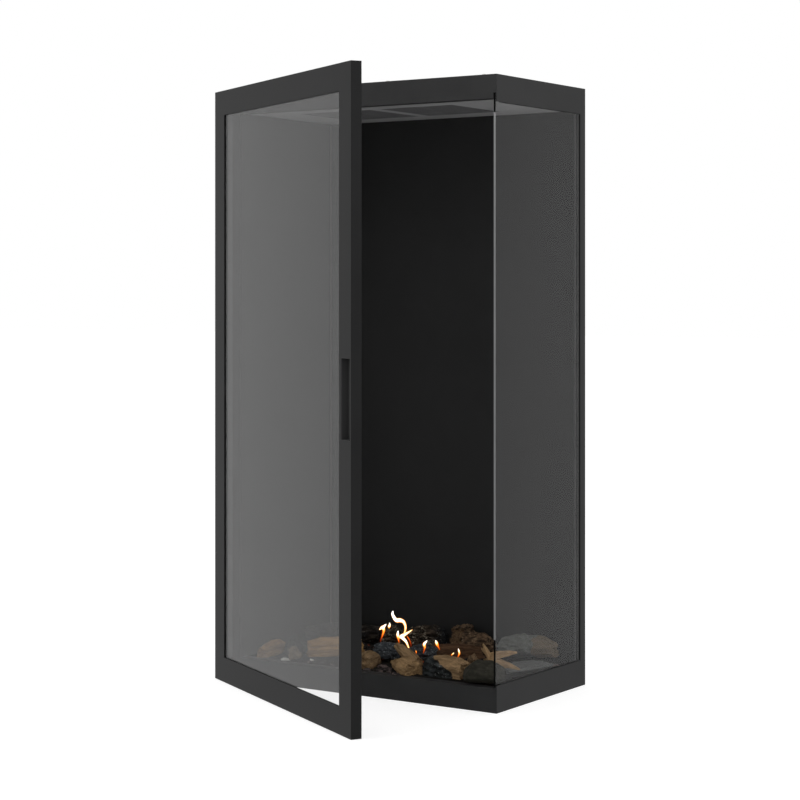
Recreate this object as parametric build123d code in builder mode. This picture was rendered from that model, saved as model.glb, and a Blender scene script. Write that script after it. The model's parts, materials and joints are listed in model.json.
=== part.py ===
"""Two-sided corner gas fireplace: steel casing, side glass, hinged glass door and ceramic log fire.

Frame: x to the right along the front, y into the fire, z up, in millimetres.
The origin is the middle of the base's underside. The door stands partly open, as it is stored.
"""

from build123d import *
from dataclasses import dataclass
from math import cos, pi, radians, sin
import os

os.makedirs("parts", exist_ok=True)

# Casing
body_width = 650.0
body_depth = 345.0
body_height = 1200.0
sheet = 2.0
header_height = 46.0
side_band_height = 52.0
return_depth = 22.5
pan_rim = 30.0
hinge_post_width = 39.0
hinge_post_depth = 30.0
rear_post_width = 16.5
rear_post_lip = 4.5
rear_post_return = 20.0

left_x = -body_width / 2
right_x = body_width / 2
front_y = -body_depth / 2
rear_y = body_depth / 2
skin_left = left_x + sheet
skin_right = right_x - sheet
skin_front = front_y + sheet
skin_rear = rear_y - sheet
floor_z = header_height
ceiling_z = body_height - header_height
post_right = left_x + hinge_post_width

# Side glass
side_glass_thickness = 4.0
glass_play = 0.5
glass_sunk = 10.5
edge_tape = 2.5
shelf_reach = 12.0
glass_right = skin_right - glass_play
glass_left = glass_right - side_glass_thickness
glass_rear = front_y + 320.0
glass_bottom = header_height - glass_sunk
glass_top = ceiling_z + header_height - glass_bottom
retainer_thickness = 2.5
rear_retainer_width = 8.0
retainer_right = glass_left - glass_play
retainer_left = retainer_right - retainer_thickness
chamber_right = retainer_left - glass_play

# Fire chamber linings and ceiling
lining = 6.0
back_lining_thickness = 5.0
lining_gap = 8.0
chamber_left = post_right + lining
chamber_rear = front_y + 320.0
lining_rear = chamber_rear + back_lining_thickness
grille_width = 169.6
grille_depth = 179.6
grille_pitch = 195.0
grille_front = front_y + 69.0
grille_thickness = 3.0
grille_fit = 0.4
grille_y = grille_front + grille_depth / 2
slot_pitch = 6.6
slot_count = 26
slot_width = 3.8
grille_centre_bar = 6.0
grille_side_bar = 4.0

# Flue
flue_y = 45.0
inner_flue_radius = 50.0
outer_flue_radius = 75.0
flue_wall = 1.5
collar_rise = 18.0
inner_flange_width = 8.0
outer_flange_width = 14.0
outer_collar_drop = 10.0
hood_height = 30.0
hood_half_width = 195.0
hood_front = front_y + 62.0
hood_rear = flue_y + 58.0

# Burner and gas train
burner_width = 470.0
burner_front = -45.0
burner_rear = 75.0
burner_y = (burner_front + burner_rear) / 2
burner_plate_thickness = 6.0
burner_fit = 1.0
port_radius = 1.6
port_grid = (20.0, 22.0, 22, 5)
gas_pipe_radius = 4.0
gas_pipe_bore = 3.0
gas_line_z = 18.0
gas_line_x = -262.0
gas_bend = 12.0
injector_length = 10.0
injector_flats = 14.0
inlet_radius = 9.5
inlet_bore = 4.1
inlet_length = 17.5
inlet_seat = 3.0
gland_x = -200.0
gland_radius = 8.0
gland_bore = 5.0
collar_width = 3.0
inlet_collar_length = 5.0
gland_collar_length = 4.0
entry_fit = 0.5
pipe_passage = 7.0

# Pilot group behind the burner
pilot_x = 30.0
pilot_y = burner_rear + 9.0
pilot_step = 14.0
pilot_foot_depth = 14.0
pilot_hole = 5.5
pilot_tube_radius = 5.0
pilot_tube_bore = 3.5
pilot_tube_rise = 10.0
pilot_plate = (36.0, 14.0, 1.2)
insulator_radius = 3.0
insulator_fit = 0.2
electrode_wire = 0.9
electrode_rises = (8.0, 14.0)
electrode_tip = 6.0
sensor_radius = 1.4
sensor_rises = (5.0, 16.0)

# Door, measured from its hinge axis: u along the door, v outwards is negative
door_open_angle = 29.5
door_gap = 1.0
door_thickness = 21.0
door_clearance = 1.0
frame_width = 50.0
lip_width = 8.0
lip_thickness = 2.0
frame_wall = 2.0
door_glass_thickness = 4.0
glazing_tape = 0.5
door_bottom = door_clearance
door_top = body_height - door_clearance
door_back = -door_gap
door_front = door_back - door_thickness
lip_back = door_front + lip_thickness
door_glass_front = lip_back + glazing_tape
door_glass_back = door_glass_front + door_glass_thickness
tube_width = frame_width - lip_width
pull_start = 609.5
pull_end = 646.0
pull_low = 527.5
pull_high = 672.5
pull_depth = 15.0
pull_wall = 1.2

# Hinges
hinge_heights = (190.0, 1010.0)
knuckle_radius = 6.0
knuckle_length = 30.0
knuckle_gap = 0.6
pin_radius = 3.0
pin_clearance = 0.05
leaf_reach = 33.0
leaf_thickness = 2.5
pin_end_gap = 3.0
notch_reach = 8.0
notch_depth = 7.0
notch_gap = 2.0
washer_inset = 0.5
washer_play = 0.1

door_plane = Plane(
    origin=(left_x, front_y, 0),
    x_dir=(cos(radians(door_open_angle)), -sin(radians(door_open_angle)), 0),
    z_dir=(0, 0, 1),
)


def slab(x, y, z, mode=Mode.ADD):
    """Add, or cut, the box between two x, two y and two z limits in the part in hand."""
    with Locations(((x[0] + x[1]) / 2, (y[0] + y[1]) / 2, (z[0] + z[1]) / 2)):
        Box(x[1] - x[0], y[1] - y[0], z[1] - z[0], mode=mode)


def drum(centre, radius, z, mode=Mode.ADD):
    """Add, or cut, an upright cylinder between two heights in the part in hand."""
    with Locations((centre[0], centre[1], (z[0] + z[1]) / 2)):
        Cylinder(radius, z[1] - z[0], mode=mode)


def bar_along_y(x, z, radius, y, mode=Mode.ADD):
    """Add, or cut, a cylinder that lies along y between two limits in the part in hand."""
    with Locations((x, (y[0] + y[1]) / 2, z)):
        Cylinder(radius, y[1] - y[0], rotation=(90, 0, 0), mode=mode)


def store(block, label):
    """Name the finished piece and write it to its file."""
    block.part.label = label
    export_step(block.part, f"parts/{label}.step")


# Base pan: a folded tray that the whole casing stands on
floor_bolt_span = (560.0, 250.0)
floor_bolt_radius = 4.5
pan_rear = skin_rear - sheet
inlet_hole = inlet_radius + entry_fit
with BuildPart() as base_pan:
    slab((skin_left, skin_right), (skin_front, skin_rear), (0, pan_rim))
    slab(
        (skin_left + sheet, skin_right - sheet),
        (skin_front + sheet, pan_rear),
        (sheet, pan_rim),
        mode=Mode.SUBTRACT,
    )
    with Locations((0, 0, sheet / 2)):
        with GridLocations(*floor_bolt_span, 2, 2):
            Cylinder(floor_bolt_radius, sheet, mode=Mode.SUBTRACT)
    bar_along_y(gas_line_x, gas_line_z, inlet_hole, (pan_rear, skin_rear), mode=Mode.SUBTRACT)
    bar_along_y(gland_x, gas_line_z, gland_radius, (pan_rear, skin_rear), mode=Mode.SUBTRACT)
store(base_pan, "base_pan")


def front_strip(face, return_z):
    """Build the front sill or header: a face with a slot for the glass edge, and a return into the fire."""
    slot = (glass_bottom - glass_play, header_height)
    if face[0] > body_height / 2:
        slot = (ceiling_z, body_height - slot[0])
    with BuildPart() as strip:
        slab((left_x, skin_right), (front_y, skin_front), face)
        slab((glass_left - glass_play, skin_right), (front_y, skin_front), slot, mode=Mode.SUBTRACT)
        slab((skin_left, chamber_right), (skin_front, front_y + return_depth), return_z)
    return strip


front_sill = front_strip((0, header_height), (header_height - sheet, header_height))
store(front_sill, "front_sill")
front_header = front_strip((ceiling_z, body_height), (ceiling_z, ceiling_z + sheet))
store(front_header, "front_header")


def side_strip(face, shelf_z):
    """Build the side sill or header: a face with an inner shelf that the glass edge bears on."""
    with BuildPart() as strip:
        slab((skin_right, right_x), (front_y, rear_y), face)
        slab((chamber_right - shelf_reach, skin_right), (front_y + return_depth, chamber_rear), shelf_z)
    return strip


lower_shelf = (glass_bottom - edge_tape - sheet, glass_bottom - edge_tape)
upper_shelf = (glass_top + edge_tape, glass_top + edge_tape + sheet)
side_sill = side_strip((0, side_band_height), lower_shelf)
store(side_sill, "side_sill")
side_header = side_strip((body_height - side_band_height, body_height), upper_shelf)
store(side_header, "side_header")


def cut_hinge_notches():
    """Cut the corner away where the knuckles of both hinges turn."""
    for height in hinge_heights:
        slab(
            (left_x, left_x + notch_reach),
            (front_y, front_y + notch_depth),
            (height - knuckle_length - notch_gap, height + knuckle_length + notch_gap),
            mode=Mode.SUBTRACT,
        )


with BuildPart() as hinge_post:
    slab((left_x, post_right), (front_y, skin_front), (floor_z, ceiling_z))
    for web in (skin_left, post_right - sheet):
        slab((web, web + sheet), (skin_front, front_y + hinge_post_depth), (floor_z, ceiling_z))
    cut_hinge_notches()
store(hinge_post, "hinge_post")

rear_post_front = rear_y - rear_post_width
post_z = (side_band_height, body_height - side_band_height)
with BuildPart() as rear_post:
    slab((skin_right, right_x), (rear_post_front - rear_post_lip, rear_y), post_z)
    slab((skin_right - rear_post_return, skin_right), (rear_post_front, rear_post_front + sheet), post_z)
    slab(
        (skin_right - rear_post_return, skin_right - rear_post_return + sheet),
        (rear_post_front + sheet, skin_rear),
        post_z,
    )
store(rear_post, "rear_post")

with BuildPart() as left_casing:
    slab((left_x, skin_left), (skin_front, skin_rear), (0, body_height))
    cut_hinge_notches()
store(left_casing, "left_casing")

with BuildPart() as rear_casing:
    slab((left_x, skin_right), (skin_rear, rear_y), (0, body_height))
    bar_along_y(gas_line_x, gas_line_z, inlet_hole, (skin_rear, rear_y), mode=Mode.SUBTRACT)
    bar_along_y(gland_x, gas_line_z, gland_radius, (skin_rear, rear_y), mode=Mode.SUBTRACT)
store(rear_casing, "rear_casing")

# Roof with its screws and the two brackets that tie it to the wall
screw_hole = 2.1
screw_shank = 2.0
screw_head = (3.8, 2.2)
screw_grip = 8.0
screw_xs = (-290.0, -70.0, 70.0, 290.0)
screw_y = 160.0
roof_hole_fit = 0.5
bracket_x = 120.0
bracket_size = (40.0, 40.0)
bracket_plate = 3.0
bracket_rise = 28.0
wall_bolt_radius = 4.5
wall_bolt_height = body_height + 16.0
bracket_screw_y = rear_y - 28.0
bracket_screw_step = 11.0
roof_screw_spots = [(x, y) for x in screw_xs for y in (-screw_y, screw_y)]
bracket_screw_spots = [
    (side * bracket_x + shift, bracket_screw_y)
    for side in (-1, 1)
    for shift in (-bracket_screw_step, bracket_screw_step)
]

roof_z = (body_height - sheet, body_height)
with BuildPart() as roof_casing:
    slab((skin_left, skin_right), (skin_front, skin_rear), roof_z)
    drum((0, flue_y), outer_flue_radius + roof_hole_fit, roof_z, mode=Mode.SUBTRACT)
    for spot in roof_screw_spots + bracket_screw_spots:
        drum(spot, screw_hole, roof_z, mode=Mode.SUBTRACT)
store(roof_casing, "roof_casing")

foot_z = (body_height, body_height + bracket_plate)
upright_y = (rear_y - bracket_plate, rear_y)
with BuildPart() as wall_brackets:
    for side in (-1, 1):
        centre = side * bracket_x
        width = (centre - bracket_size[0] / 2, centre + bracket_size[0] / 2)
        slab(width, (rear_y - bracket_size[1], rear_y), foot_z)
        slab(width, upright_y, (foot_z[1], body_height + bracket_rise))
        bar_along_y(centre, wall_bolt_height, wall_bolt_radius, upright_y, mode=Mode.SUBTRACT)
    for spot in bracket_screw_spots:
        drum(spot, screw_hole, foot_z, mode=Mode.SUBTRACT)
store(wall_brackets, "wall_brackets")

with BuildPart() as roof_screws:
    seats = [(spot, body_height) for spot in roof_screw_spots]
    seats += [(spot, foot_z[1]) for spot in bracket_screw_spots]
    for spot, seat in seats:
        drum(spot, screw_head[0], (seat, seat + screw_head[1]))
        drum(spot, screw_shank, (seat - screw_grip, seat))
store(roof_screws, "roof_screws")

# Chamber linings and insulation
board_gap = 0.5
board_top_gap = 4.0
lining_setback = 1.0
with BuildPart() as left_insulation:
    slab(
        (skin_left + sheet, post_right - sheet),
        (front_y + hinge_post_depth + board_gap, skin_rear - sheet),
        (floor_z - sheet, ceiling_z - board_top_gap),
    )
store(left_insulation, "left_insulation")

lining_y = (front_y + lining_setback, chamber_rear - lining_gap)
with BuildPart() as left_lining:
    slab((post_right, chamber_left), lining_y, (floor_z, ceiling_z))
store(left_lining, "left_lining")

with BuildPart() as back_lining:
    slab((post_right, chamber_right), (chamber_rear, lining_rear), (floor_z, ceiling_z))
store(back_lining, "back_lining")

plate_gap = 0.5
plate_front = front_y + return_depth + plate_gap
grille_spots = [(side * grille_pitch / 2, grille_y) for side in (-1, 1)]
with BuildPart() as ceiling_plate:
    slab((post_right, chamber_right), (plate_front, lining_rear), (ceiling_z, ceiling_z + sheet))
    with Locations(*[(x, y, ceiling_z + sheet / 2) for x, y in grille_spots]):
        Box(grille_width + 2 * grille_fit, grille_depth + 2 * grille_fit, sheet, mode=Mode.SUBTRACT)
store(ceiling_plate, "ceiling_plate")

slot_length = (grille_width - grille_centre_bar) / 2 - grille_side_bar
with BuildPart() as ceiling_grilles:
    for x, y in grille_spots:
        with Locations((x, y, ceiling_z + grille_thickness / 2)):
            Box(grille_width, grille_depth, grille_thickness)
            with GridLocations(slot_length + grille_centre_bar, slot_pitch, 2, slot_count):
                Box(slot_length, slot_width, grille_thickness, mode=Mode.SUBTRACT)
store(ceiling_grilles, "ceiling_grilles")

# Flue hood above the grilles, and the two collars that the flue pipes slide over
hood_top = ceiling_z + sheet + hood_height
with BuildPart() as flue_hood:
    slab((-hood_half_width, hood_half_width), (hood_front, hood_rear), (ceiling_z + sheet, hood_top))
    slab(
        (flue_wall - hood_half_width, hood_half_width - flue_wall),
        (hood_front + flue_wall, hood_rear - flue_wall),
        (ceiling_z + sheet, hood_top - flue_wall),
        mode=Mode.SUBTRACT,
    )
    drum((0, flue_y), inner_flue_radius - flue_wall, (hood_top - flue_wall, hood_top), mode=Mode.SUBTRACT)
store(flue_hood, "flue_hood")


def flue_collar(radius, bottom, flange_z, flange_width):
    """Build a short pipe collar with a flat flange to fix it by."""
    with BuildPart() as collar:
        drum((0, flue_y), radius, (bottom, body_height + collar_rise))
        drum((0, flue_y), radius + flange_width, (flange_z, flange_z + flue_wall))
        drum((0, flue_y), radius - flue_wall, (bottom, body_height + collar_rise), mode=Mode.SUBTRACT)
    return collar


flue_collar_inner = flue_collar(inner_flue_radius, hood_top, hood_top, inner_flange_width)
store(flue_collar_inner, "flue_collar_inner")
flue_collar_outer = flue_collar(
    outer_flue_radius, body_height - outer_collar_drop, body_height, outer_flange_width
)
store(flue_collar_outer, "flue_collar_outer")

# Side glass with the tape it is bedded on and the strips that hold it
with BuildPart() as side_glass:
    slab((glass_left, glass_right), (front_y, glass_rear), (glass_bottom, glass_top))
store(side_glass, "side_glass")

strip_front = front_y + return_depth
strip_play = 1.0
low_strip = (glass_bottom - edge_tape, side_band_height)
high_strip = (body_height - side_band_height, glass_top + edge_tape)
with BuildPart() as side_glass_seal:
    slab((glass_left, glass_right), (strip_front, glass_rear), (glass_bottom - edge_tape, glass_bottom))
    slab((glass_left, glass_right), (strip_front, glass_rear), (glass_top, glass_top + edge_tape))
    slab((glass_left, glass_right), (glass_rear, glass_rear + sheet), (glass_bottom, glass_top))
    for strip in (low_strip, high_strip):
        middle = (max(strip[0], glass_bottom), min(strip[1], glass_top))
        slab((retainer_right, glass_left), (strip_front, glass_rear), middle)
store(side_glass_seal, "side_glass_seal")

with BuildPart() as side_glass_retainers:
    for strip in (low_strip, high_strip):
        slab((retainer_left, retainer_right), (strip_front, glass_rear), strip)
    slab(
        (retainer_left, retainer_right),
        (glass_rear - rear_retainer_width, glass_rear),
        (side_band_height + strip_play, body_height - side_band_height - strip_play),
    )
store(side_glass_retainers, "side_glass_retainers")

# Burner
half_burner = burner_width / 2
pilot_shifts = (-pilot_step, 0, pilot_step)
deck_x = (post_right, chamber_right)
deck_y = (plate_front, lining_rear)
deck_flange_x = (post_right, chamber_right - shelf_reach - plate_gap)
with BuildPart() as burner_deck:
    slab(deck_x, deck_y, (floor_z - sheet, floor_z))
    slab(deck_flange_x, deck_y, (sheet, floor_z - sheet))
    slab(
        (deck_flange_x[0] + sheet, deck_flange_x[1] - sheet),
        (deck_y[0] + sheet, deck_y[1] - sheet),
        (sheet, floor_z - sheet),
        mode=Mode.SUBTRACT,
    )
    slab(
        (-half_burner - burner_fit, half_burner + burner_fit),
        (burner_front - burner_fit, burner_rear + burner_fit),
        (floor_z - sheet, floor_z),
        mode=Mode.SUBTRACT,
    )
    for shift in pilot_shifts:
        drum((pilot_x + shift, pilot_y), pilot_hole, (floor_z - sheet, floor_z), mode=Mode.SUBTRACT)
    for x in (gas_line_x, gland_x):
        bar_along_y(x, gas_line_z, pipe_passage, (deck_y[1] - sheet, deck_y[1]), mode=Mode.SUBTRACT)
store(burner_deck, "burner_deck")

plate_bottom = floor_z - burner_plate_thickness
with BuildPart() as burner_tray:
    slab((-half_burner, half_burner), (burner_front, burner_rear), (sheet, plate_bottom))
    slab(
        (flue_wall - half_burner, half_burner - flue_wall),
        (burner_front + flue_wall, burner_rear - flue_wall),
        (sheet + flue_wall, plate_bottom),
        mode=Mode.SUBTRACT,
    )
    with Locations((-half_burner, burner_y, gas_line_z)):
        Cylinder(gas_pipe_radius, 4 * flue_wall, rotation=(0, 90, 0), mode=Mode.SUBTRACT)
store(burner_tray, "burner_tray")

with BuildPart() as burner_plate:
    slab((-half_burner, half_burner), (burner_front, burner_rear), (plate_bottom, floor_z))
    with Locations((0, burner_y, floor_z - burner_plate_thickness / 2)):
        with GridLocations(*port_grid):
            Cylinder(port_radius, burner_plate_thickness, mode=Mode.SUBTRACT)
store(burner_plate, "burner_plate")

inlet_front = rear_y - inlet_length
pipe_start_x = -half_burner - injector_length
with BuildPart() as gas_manifold:
    with BuildLine(Plane.XY.offset(gas_line_z)) as pipe_route:
        run_out = Line((pipe_start_x, burner_y), (gas_line_x + gas_bend, burner_y))
        elbow = RadiusArc(run_out @ 1, (gas_line_x, burner_y + gas_bend), gas_bend)
        Line(elbow @ 1, (gas_line_x, inlet_front))
    with BuildSketch(Plane(origin=(pipe_start_x, burner_y, gas_line_z), z_dir=(-1, 0, 0))):
        Circle(gas_pipe_radius)
        Circle(gas_pipe_bore, mode=Mode.SUBTRACT)
    sweep(path=pipe_route.wires()[0])
    with BuildSketch(Plane(origin=(pipe_start_x, burner_y, gas_line_z), z_dir=(1, 0, 0))):
        RegularPolygon(injector_flats / 2, 6, major_radius=False)
        Circle(port_radius, mode=Mode.SUBTRACT)
    extrude(amount=injector_length)
store(gas_manifold, "gas_manifold")

inlet_stop = inlet_front + inlet_seat
inlet_collar = (pan_rear - inlet_collar_length, pan_rear)
with BuildPart() as gas_inlet_fitting:
    bar_along_y(gas_line_x, gas_line_z, inlet_radius, (inlet_front, rear_y))
    bar_along_y(gas_line_x, gas_line_z, inlet_radius + collar_width, inlet_collar)
    bar_along_y(gas_line_x, gas_line_z, inlet_bore, (inlet_stop, rear_y), mode=Mode.SUBTRACT)
    bar_along_y(gas_line_x, gas_line_z, gas_pipe_bore, (inlet_front, inlet_stop), mode=Mode.SUBTRACT)
store(gas_inlet_fitting, "gas_inlet_fitting")

gland_front = pan_rear - gland_collar_length
with BuildPart() as lead_gland:
    bar_along_y(gland_x, gas_line_z, gland_radius, (gland_front, rear_y))
    bar_along_y(gland_x, gas_line_z, gland_radius + collar_width, (gland_front, pan_rear))
    bar_along_y(gland_x, gas_line_z, gland_bore, (gland_front, rear_y), mode=Mode.SUBTRACT)
store(lead_gland, "lead_gland")

# Pilot group: burner tube, spark electrode and flame sensor, side by side
pilot_foot = floor_z - pilot_foot_depth
pilot_plate_top = floor_z + pilot_plate[2]
spark_x = pilot_x - pilot_step
sensor_x = pilot_x + pilot_step
with BuildPart() as pilot_burner:
    drum((pilot_x, pilot_y), pilot_tube_radius, (pilot_foot, floor_z + pilot_tube_rise))
    drum((pilot_x, pilot_y), pilot_tube_bore, (pilot_foot, floor_z + pilot_tube_rise), mode=Mode.SUBTRACT)
    slab(
        (pilot_x - pilot_plate[0] / 2, pilot_x + pilot_plate[0] / 2),
        (pilot_y - pilot_plate[1] / 2, pilot_y + pilot_plate[1] / 2),
        (floor_z, pilot_plate_top),
    )
    drum((pilot_x, pilot_y), pilot_tube_bore, (floor_z, pilot_plate_top), mode=Mode.SUBTRACT)
    for x in (spark_x, sensor_x):
        drum((x, pilot_y), insulator_radius + insulator_fit, (floor_z, pilot_plate_top), mode=Mode.SUBTRACT)
store(pilot_burner, "pilot_burner")

with BuildPart() as spark_electrode:
    drum((spark_x, pilot_y), insulator_radius, (pilot_foot, floor_z + electrode_rises[0]))
    drum((spark_x, pilot_y), electrode_wire, (floor_z + electrode_rises[0], floor_z + electrode_rises[1]))
    with Locations((spark_x + electrode_tip / 2, pilot_y, floor_z + electrode_rises[1] - electrode_wire)):
        Cylinder(electrode_wire, electrode_tip, rotation=(0, 90, 0))
store(spark_electrode, "spark_electrode")

with BuildPart() as flame_sensor:
    drum((sensor_x, pilot_y), insulator_radius, (pilot_foot, floor_z + sensor_rises[0]))
    drum((sensor_x, pilot_y), sensor_radius, (floor_z + sensor_rises[0], floor_z + sensor_rises[1]))
store(flame_sensor, "flame_sensor")

# Magnets that hold the shut door, hidden behind the front sill and header
magnet_size = (60.0, 10.0, 11.0)
magnet_x = 260.0
magnet_floors = (pan_rim + 1.5, ceiling_z + sheet + 3.0)
with BuildPart() as catch_magnets:
    for height in magnet_floors:
        slab(
            (magnet_x - magnet_size[0] / 2, magnet_x + magnet_size[0] / 2),
            (skin_front, skin_front + magnet_size[1]),
            (height, height + magnet_size[2]),
        )
store(catch_magnets, "catch_magnets")

# Hinges: the fixed halves carry the pins, the door halves turn on them
leaf_start = knuckle_radius - 1
with BuildPart() as hinge_brackets:
    for height in hinge_heights:
        drum((left_x, front_y), knuckle_radius, (height - knuckle_length, height))
        drum((left_x, front_y), pin_radius, (height, height + knuckle_length - pin_end_gap))
        slab(
            (left_x + leaf_start, left_x + leaf_reach),
            (skin_front, skin_front + leaf_thickness),
            (height - knuckle_length, height),
        )
store(hinge_brackets, "hinge_brackets")

with BuildPart() as hinge_washers:
    for height in hinge_heights:
        washer_z = (height, height + knuckle_gap - washer_play)
        drum((left_x, front_y), knuckle_radius - washer_inset, washer_z)
        drum((left_x, front_y), pin_radius + pin_clearance, washer_z, mode=Mode.SUBTRACT)
store(hinge_washers, "hinge_washers")

knuckle_spans = [(height + knuckle_gap, height + knuckle_length) for height in hinge_heights]
with BuildPart(door_plane) as door_knuckles:
    for span in knuckle_spans:
        drum((0, 0), knuckle_radius, span)
        slab((leaf_start, leaf_reach), (door_back - frame_wall, door_back), span)
        drum((0, 0), pin_radius + pin_clearance, span, mode=Mode.SUBTRACT)
store(door_knuckles, "door_knuckles")


# Door frame: two full-height stiles with the rails between them
def door_stile(tube, lip):
    """Build one hollow stile from its tube's span and the span of the lip that stands over the glass."""
    with BuildPart(door_plane) as stile:
        slab(tube, (door_front, door_back), (door_bottom, door_top))
        slab(lip, (door_front, lip_back), (door_bottom + frame_width, door_top - frame_width))
        slab(
            (tube[0] + frame_wall, tube[1] - frame_wall),
            (door_front + frame_wall, door_back - frame_wall),
            (door_bottom + frame_wall, door_top - frame_wall),
            mode=Mode.SUBTRACT,
        )
        if tube[0] == 0:
            for height, span in zip(hinge_heights, knuckle_spans):
                clear = (height - knuckle_length - notch_gap, height + knuckle_length + notch_gap)
                slab((0, notch_reach), (door_back - notch_depth, door_back), clear, mode=Mode.SUBTRACT)
                slab((notch_reach, leaf_reach), (door_back - frame_wall, door_back), span, mode=Mode.SUBTRACT)
        else:
            slab(
                (pull_start - pull_wall, pull_end + pull_wall),
                (door_front, door_front + pull_depth + pull_wall),
                (pull_low - pull_wall, pull_high + pull_wall),
                mode=Mode.SUBTRACT,
            )
    return stile


lock_tube_start = body_width - tube_width
door_hinge_stile = door_stile((0, tube_width), (tube_width, frame_width))
store(door_hinge_stile, "door_hinge_stile")
door_lock_stile = door_stile((lock_tube_start, body_width), (body_width - frame_width, lock_tube_start))
store(door_lock_stile, "door_lock_stile")


def door_rail(tube_z, lip_z):
    """Build one hollow rail between the stiles."""
    span = (tube_width, lock_tube_start)
    with BuildPart(door_plane) as rail:
        slab(span, (door_front, door_back), tube_z)
        slab(span, (door_front, lip_back), lip_z)
        slab(
            span,
            (door_front + frame_wall, door_back - frame_wall),
            (tube_z[0] + frame_wall, tube_z[1] - frame_wall),
            mode=Mode.SUBTRACT,
        )
    return rail


glass_span = (tube_width + glass_play, lock_tube_start - glass_play)
glass_rise = (door_bottom + tube_width + glass_play, door_top - tube_width - glass_play)
sight_span = (frame_width, body_width - frame_width)
sight_rise = (door_bottom + frame_width, door_top - frame_width)
outer_rise = (door_bottom + tube_width, door_top - tube_width)
door_bottom_rail = door_rail((door_bottom, outer_rise[0]), (outer_rise[0], sight_rise[0]))
store(door_bottom_rail, "door_bottom_rail")
door_top_rail = door_rail((outer_rise[1], door_top), (sight_rise[1], outer_rise[1]))
store(door_top_rail, "door_top_rail")

with BuildPart(door_plane) as door_glass:
    slab(glass_span, (door_glass_front, door_glass_back), glass_rise)
store(door_glass, "door_glass")

with BuildPart(door_plane) as door_glass_seal:
    slab(glass_span, (lip_back, door_glass_front), glass_rise)
    slab(sight_span, (lip_back, door_glass_front), sight_rise, mode=Mode.SUBTRACT)
store(door_glass_seal, "door_glass_seal")

# The lower bead slopes down from the glass, so that ash slides off it
bead_play = 0.2
bead_toe = 1.0
bead_depth = (door_glass_back, door_back)
bead_section = Plane(
    origin=door_plane.from_local_coords((tube_width, 0, 0)), x_dir=door_plane.y_dir, z_dir=door_plane.x_dir
)
with BuildPart(door_plane) as door_glass_retainers:
    for bead in ((tube_width, frame_width), (body_width - frame_width, lock_tube_start)):
        slab(bead, bead_depth, (sight_rise[0] + bead_play, sight_rise[1] - bead_play))
    slab((tube_width, lock_tube_start), bead_depth, (sight_rise[1], outer_rise[1]))
    with BuildSketch(bead_section):
        with BuildLine():
            Polyline(
                (bead_depth[0], outer_rise[0]),
                (bead_depth[1], outer_rise[0]),
                (bead_depth[1], outer_rise[0] + bead_toe),
                (bead_depth[0], sight_rise[0]),
                close=True,
            )
        make_face()
    extrude(amount=lock_tube_start - tube_width)
store(door_glass_retainers, "door_glass_retainers")

seal_width = 10.0
seal_thickness = 0.7
seal_inset = 14.0
seal_overlap = 1.0
seal_span = (seal_inset, glass_right - left_x + seal_overlap)
seal_rise = (door_bottom + seal_inset, door_top - seal_inset)
with BuildPart(door_plane) as door_seal:
    slab(seal_span, (door_back, door_back + seal_thickness), seal_rise)
    slab(
        (seal_span[0] + seal_width, seal_span[1] - seal_width),
        (door_back, door_back + seal_thickness),
        (seal_rise[0] + seal_width, seal_rise[1] - seal_width),
        mode=Mode.SUBTRACT,
    )
store(door_seal, "door_seal")

with BuildPart(door_plane) as door_pull:
    slab(
        (pull_start - pull_wall, pull_end + pull_wall),
        (door_front, door_front + pull_depth + pull_wall),
        (pull_low - pull_wall, pull_high + pull_wall),
    )
    slab(
        (pull_start, pull_end),
        (door_front, door_front + pull_depth),
        (pull_low, pull_high),
        mode=Mode.SUBTRACT,
    )
store(door_pull, "door_pull")


# Ceramic logs: each is lofted through uneven sections along its length
@dataclass
class Log:
    """One log: middle of its underside, heading from +x in degrees, size, end rise, section form and girths."""

    x: float
    y: float
    base: float
    heading: float
    length: float
    width: float
    height: float
    rise: float = 0.0
    form: str = "round"
    girths: tuple = (0.8, 1.0, 1.0, 0.8)


round_sides = 9
station_share = (0.0, 0.3, 0.7, 1.0)
lean_share = 0.06
bow_share = 0.06
girth_mean = 0.93
girth_swing = 0.07
profiles = {
    "split": ((-0.5, 0.0), (0.46, 0.0), (0.5, 0.42), (0.3, 0.86), (-0.08, 1.0), (-0.42, 0.66)),
    "block": ((-0.42, 0.0), (0.42, 0.0), (0.5, 0.5), (0.38, 0.94), (-0.3, 1.0), (-0.5, 0.55)),
}


def log_profile(log, station):
    """Return the section's corner points, in width and height, at one station."""
    scale = log.girths[station]
    if log.form in profiles:
        lean = lean_share * sin(2.3 * station + log.length)
        return [(scale * log.width * (x + lean * z), scale * log.height * z) for x, z in profiles[log.form]]
    points = []
    for corner in range(round_sides):
        angle = 2 * pi * corner / round_sides - pi / 2 + pi / round_sides
        girth = scale * (girth_mean + girth_swing * sin(3 * angle + station + log.length)) / 2
        points.append((log.width * girth * cos(angle), log.height * (0.5 + girth * sin(angle))))
    return points


def build_log(log, neighbours=()):
    """Build one log as a single solid and cut it back where it would run into its neighbours."""
    along = (cos(radians(log.heading)), sin(radians(log.heading)))
    with BuildPart() as body:
        for station, share in enumerate(station_share):
            reach = (share - 0.5) * log.length
            bow = bow_share * log.width * sin(pi * share + log.heading)
            foot = (
                log.x + reach * along[0] - bow * along[1],
                log.y + reach * along[1] + bow * along[0],
                log.base + log.rise * share,
            )
            across = Plane(origin=foot, x_dir=(-along[1], along[0], 0), z_dir=(along[0], along[1], 0))
            with BuildSketch(across):
                with BuildLine():
                    Polyline(*log_profile(log, station), close=True)
                make_face()
        loft(ruled=True)
        for neighbour in neighbours:
            add(neighbour.part, mode=Mode.SUBTRACT)
    body.part = max(body.part.solids(), key=lambda solid: solid.volume)
    return body


embers_top = floor_z + 4.0
placed = []


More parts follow.
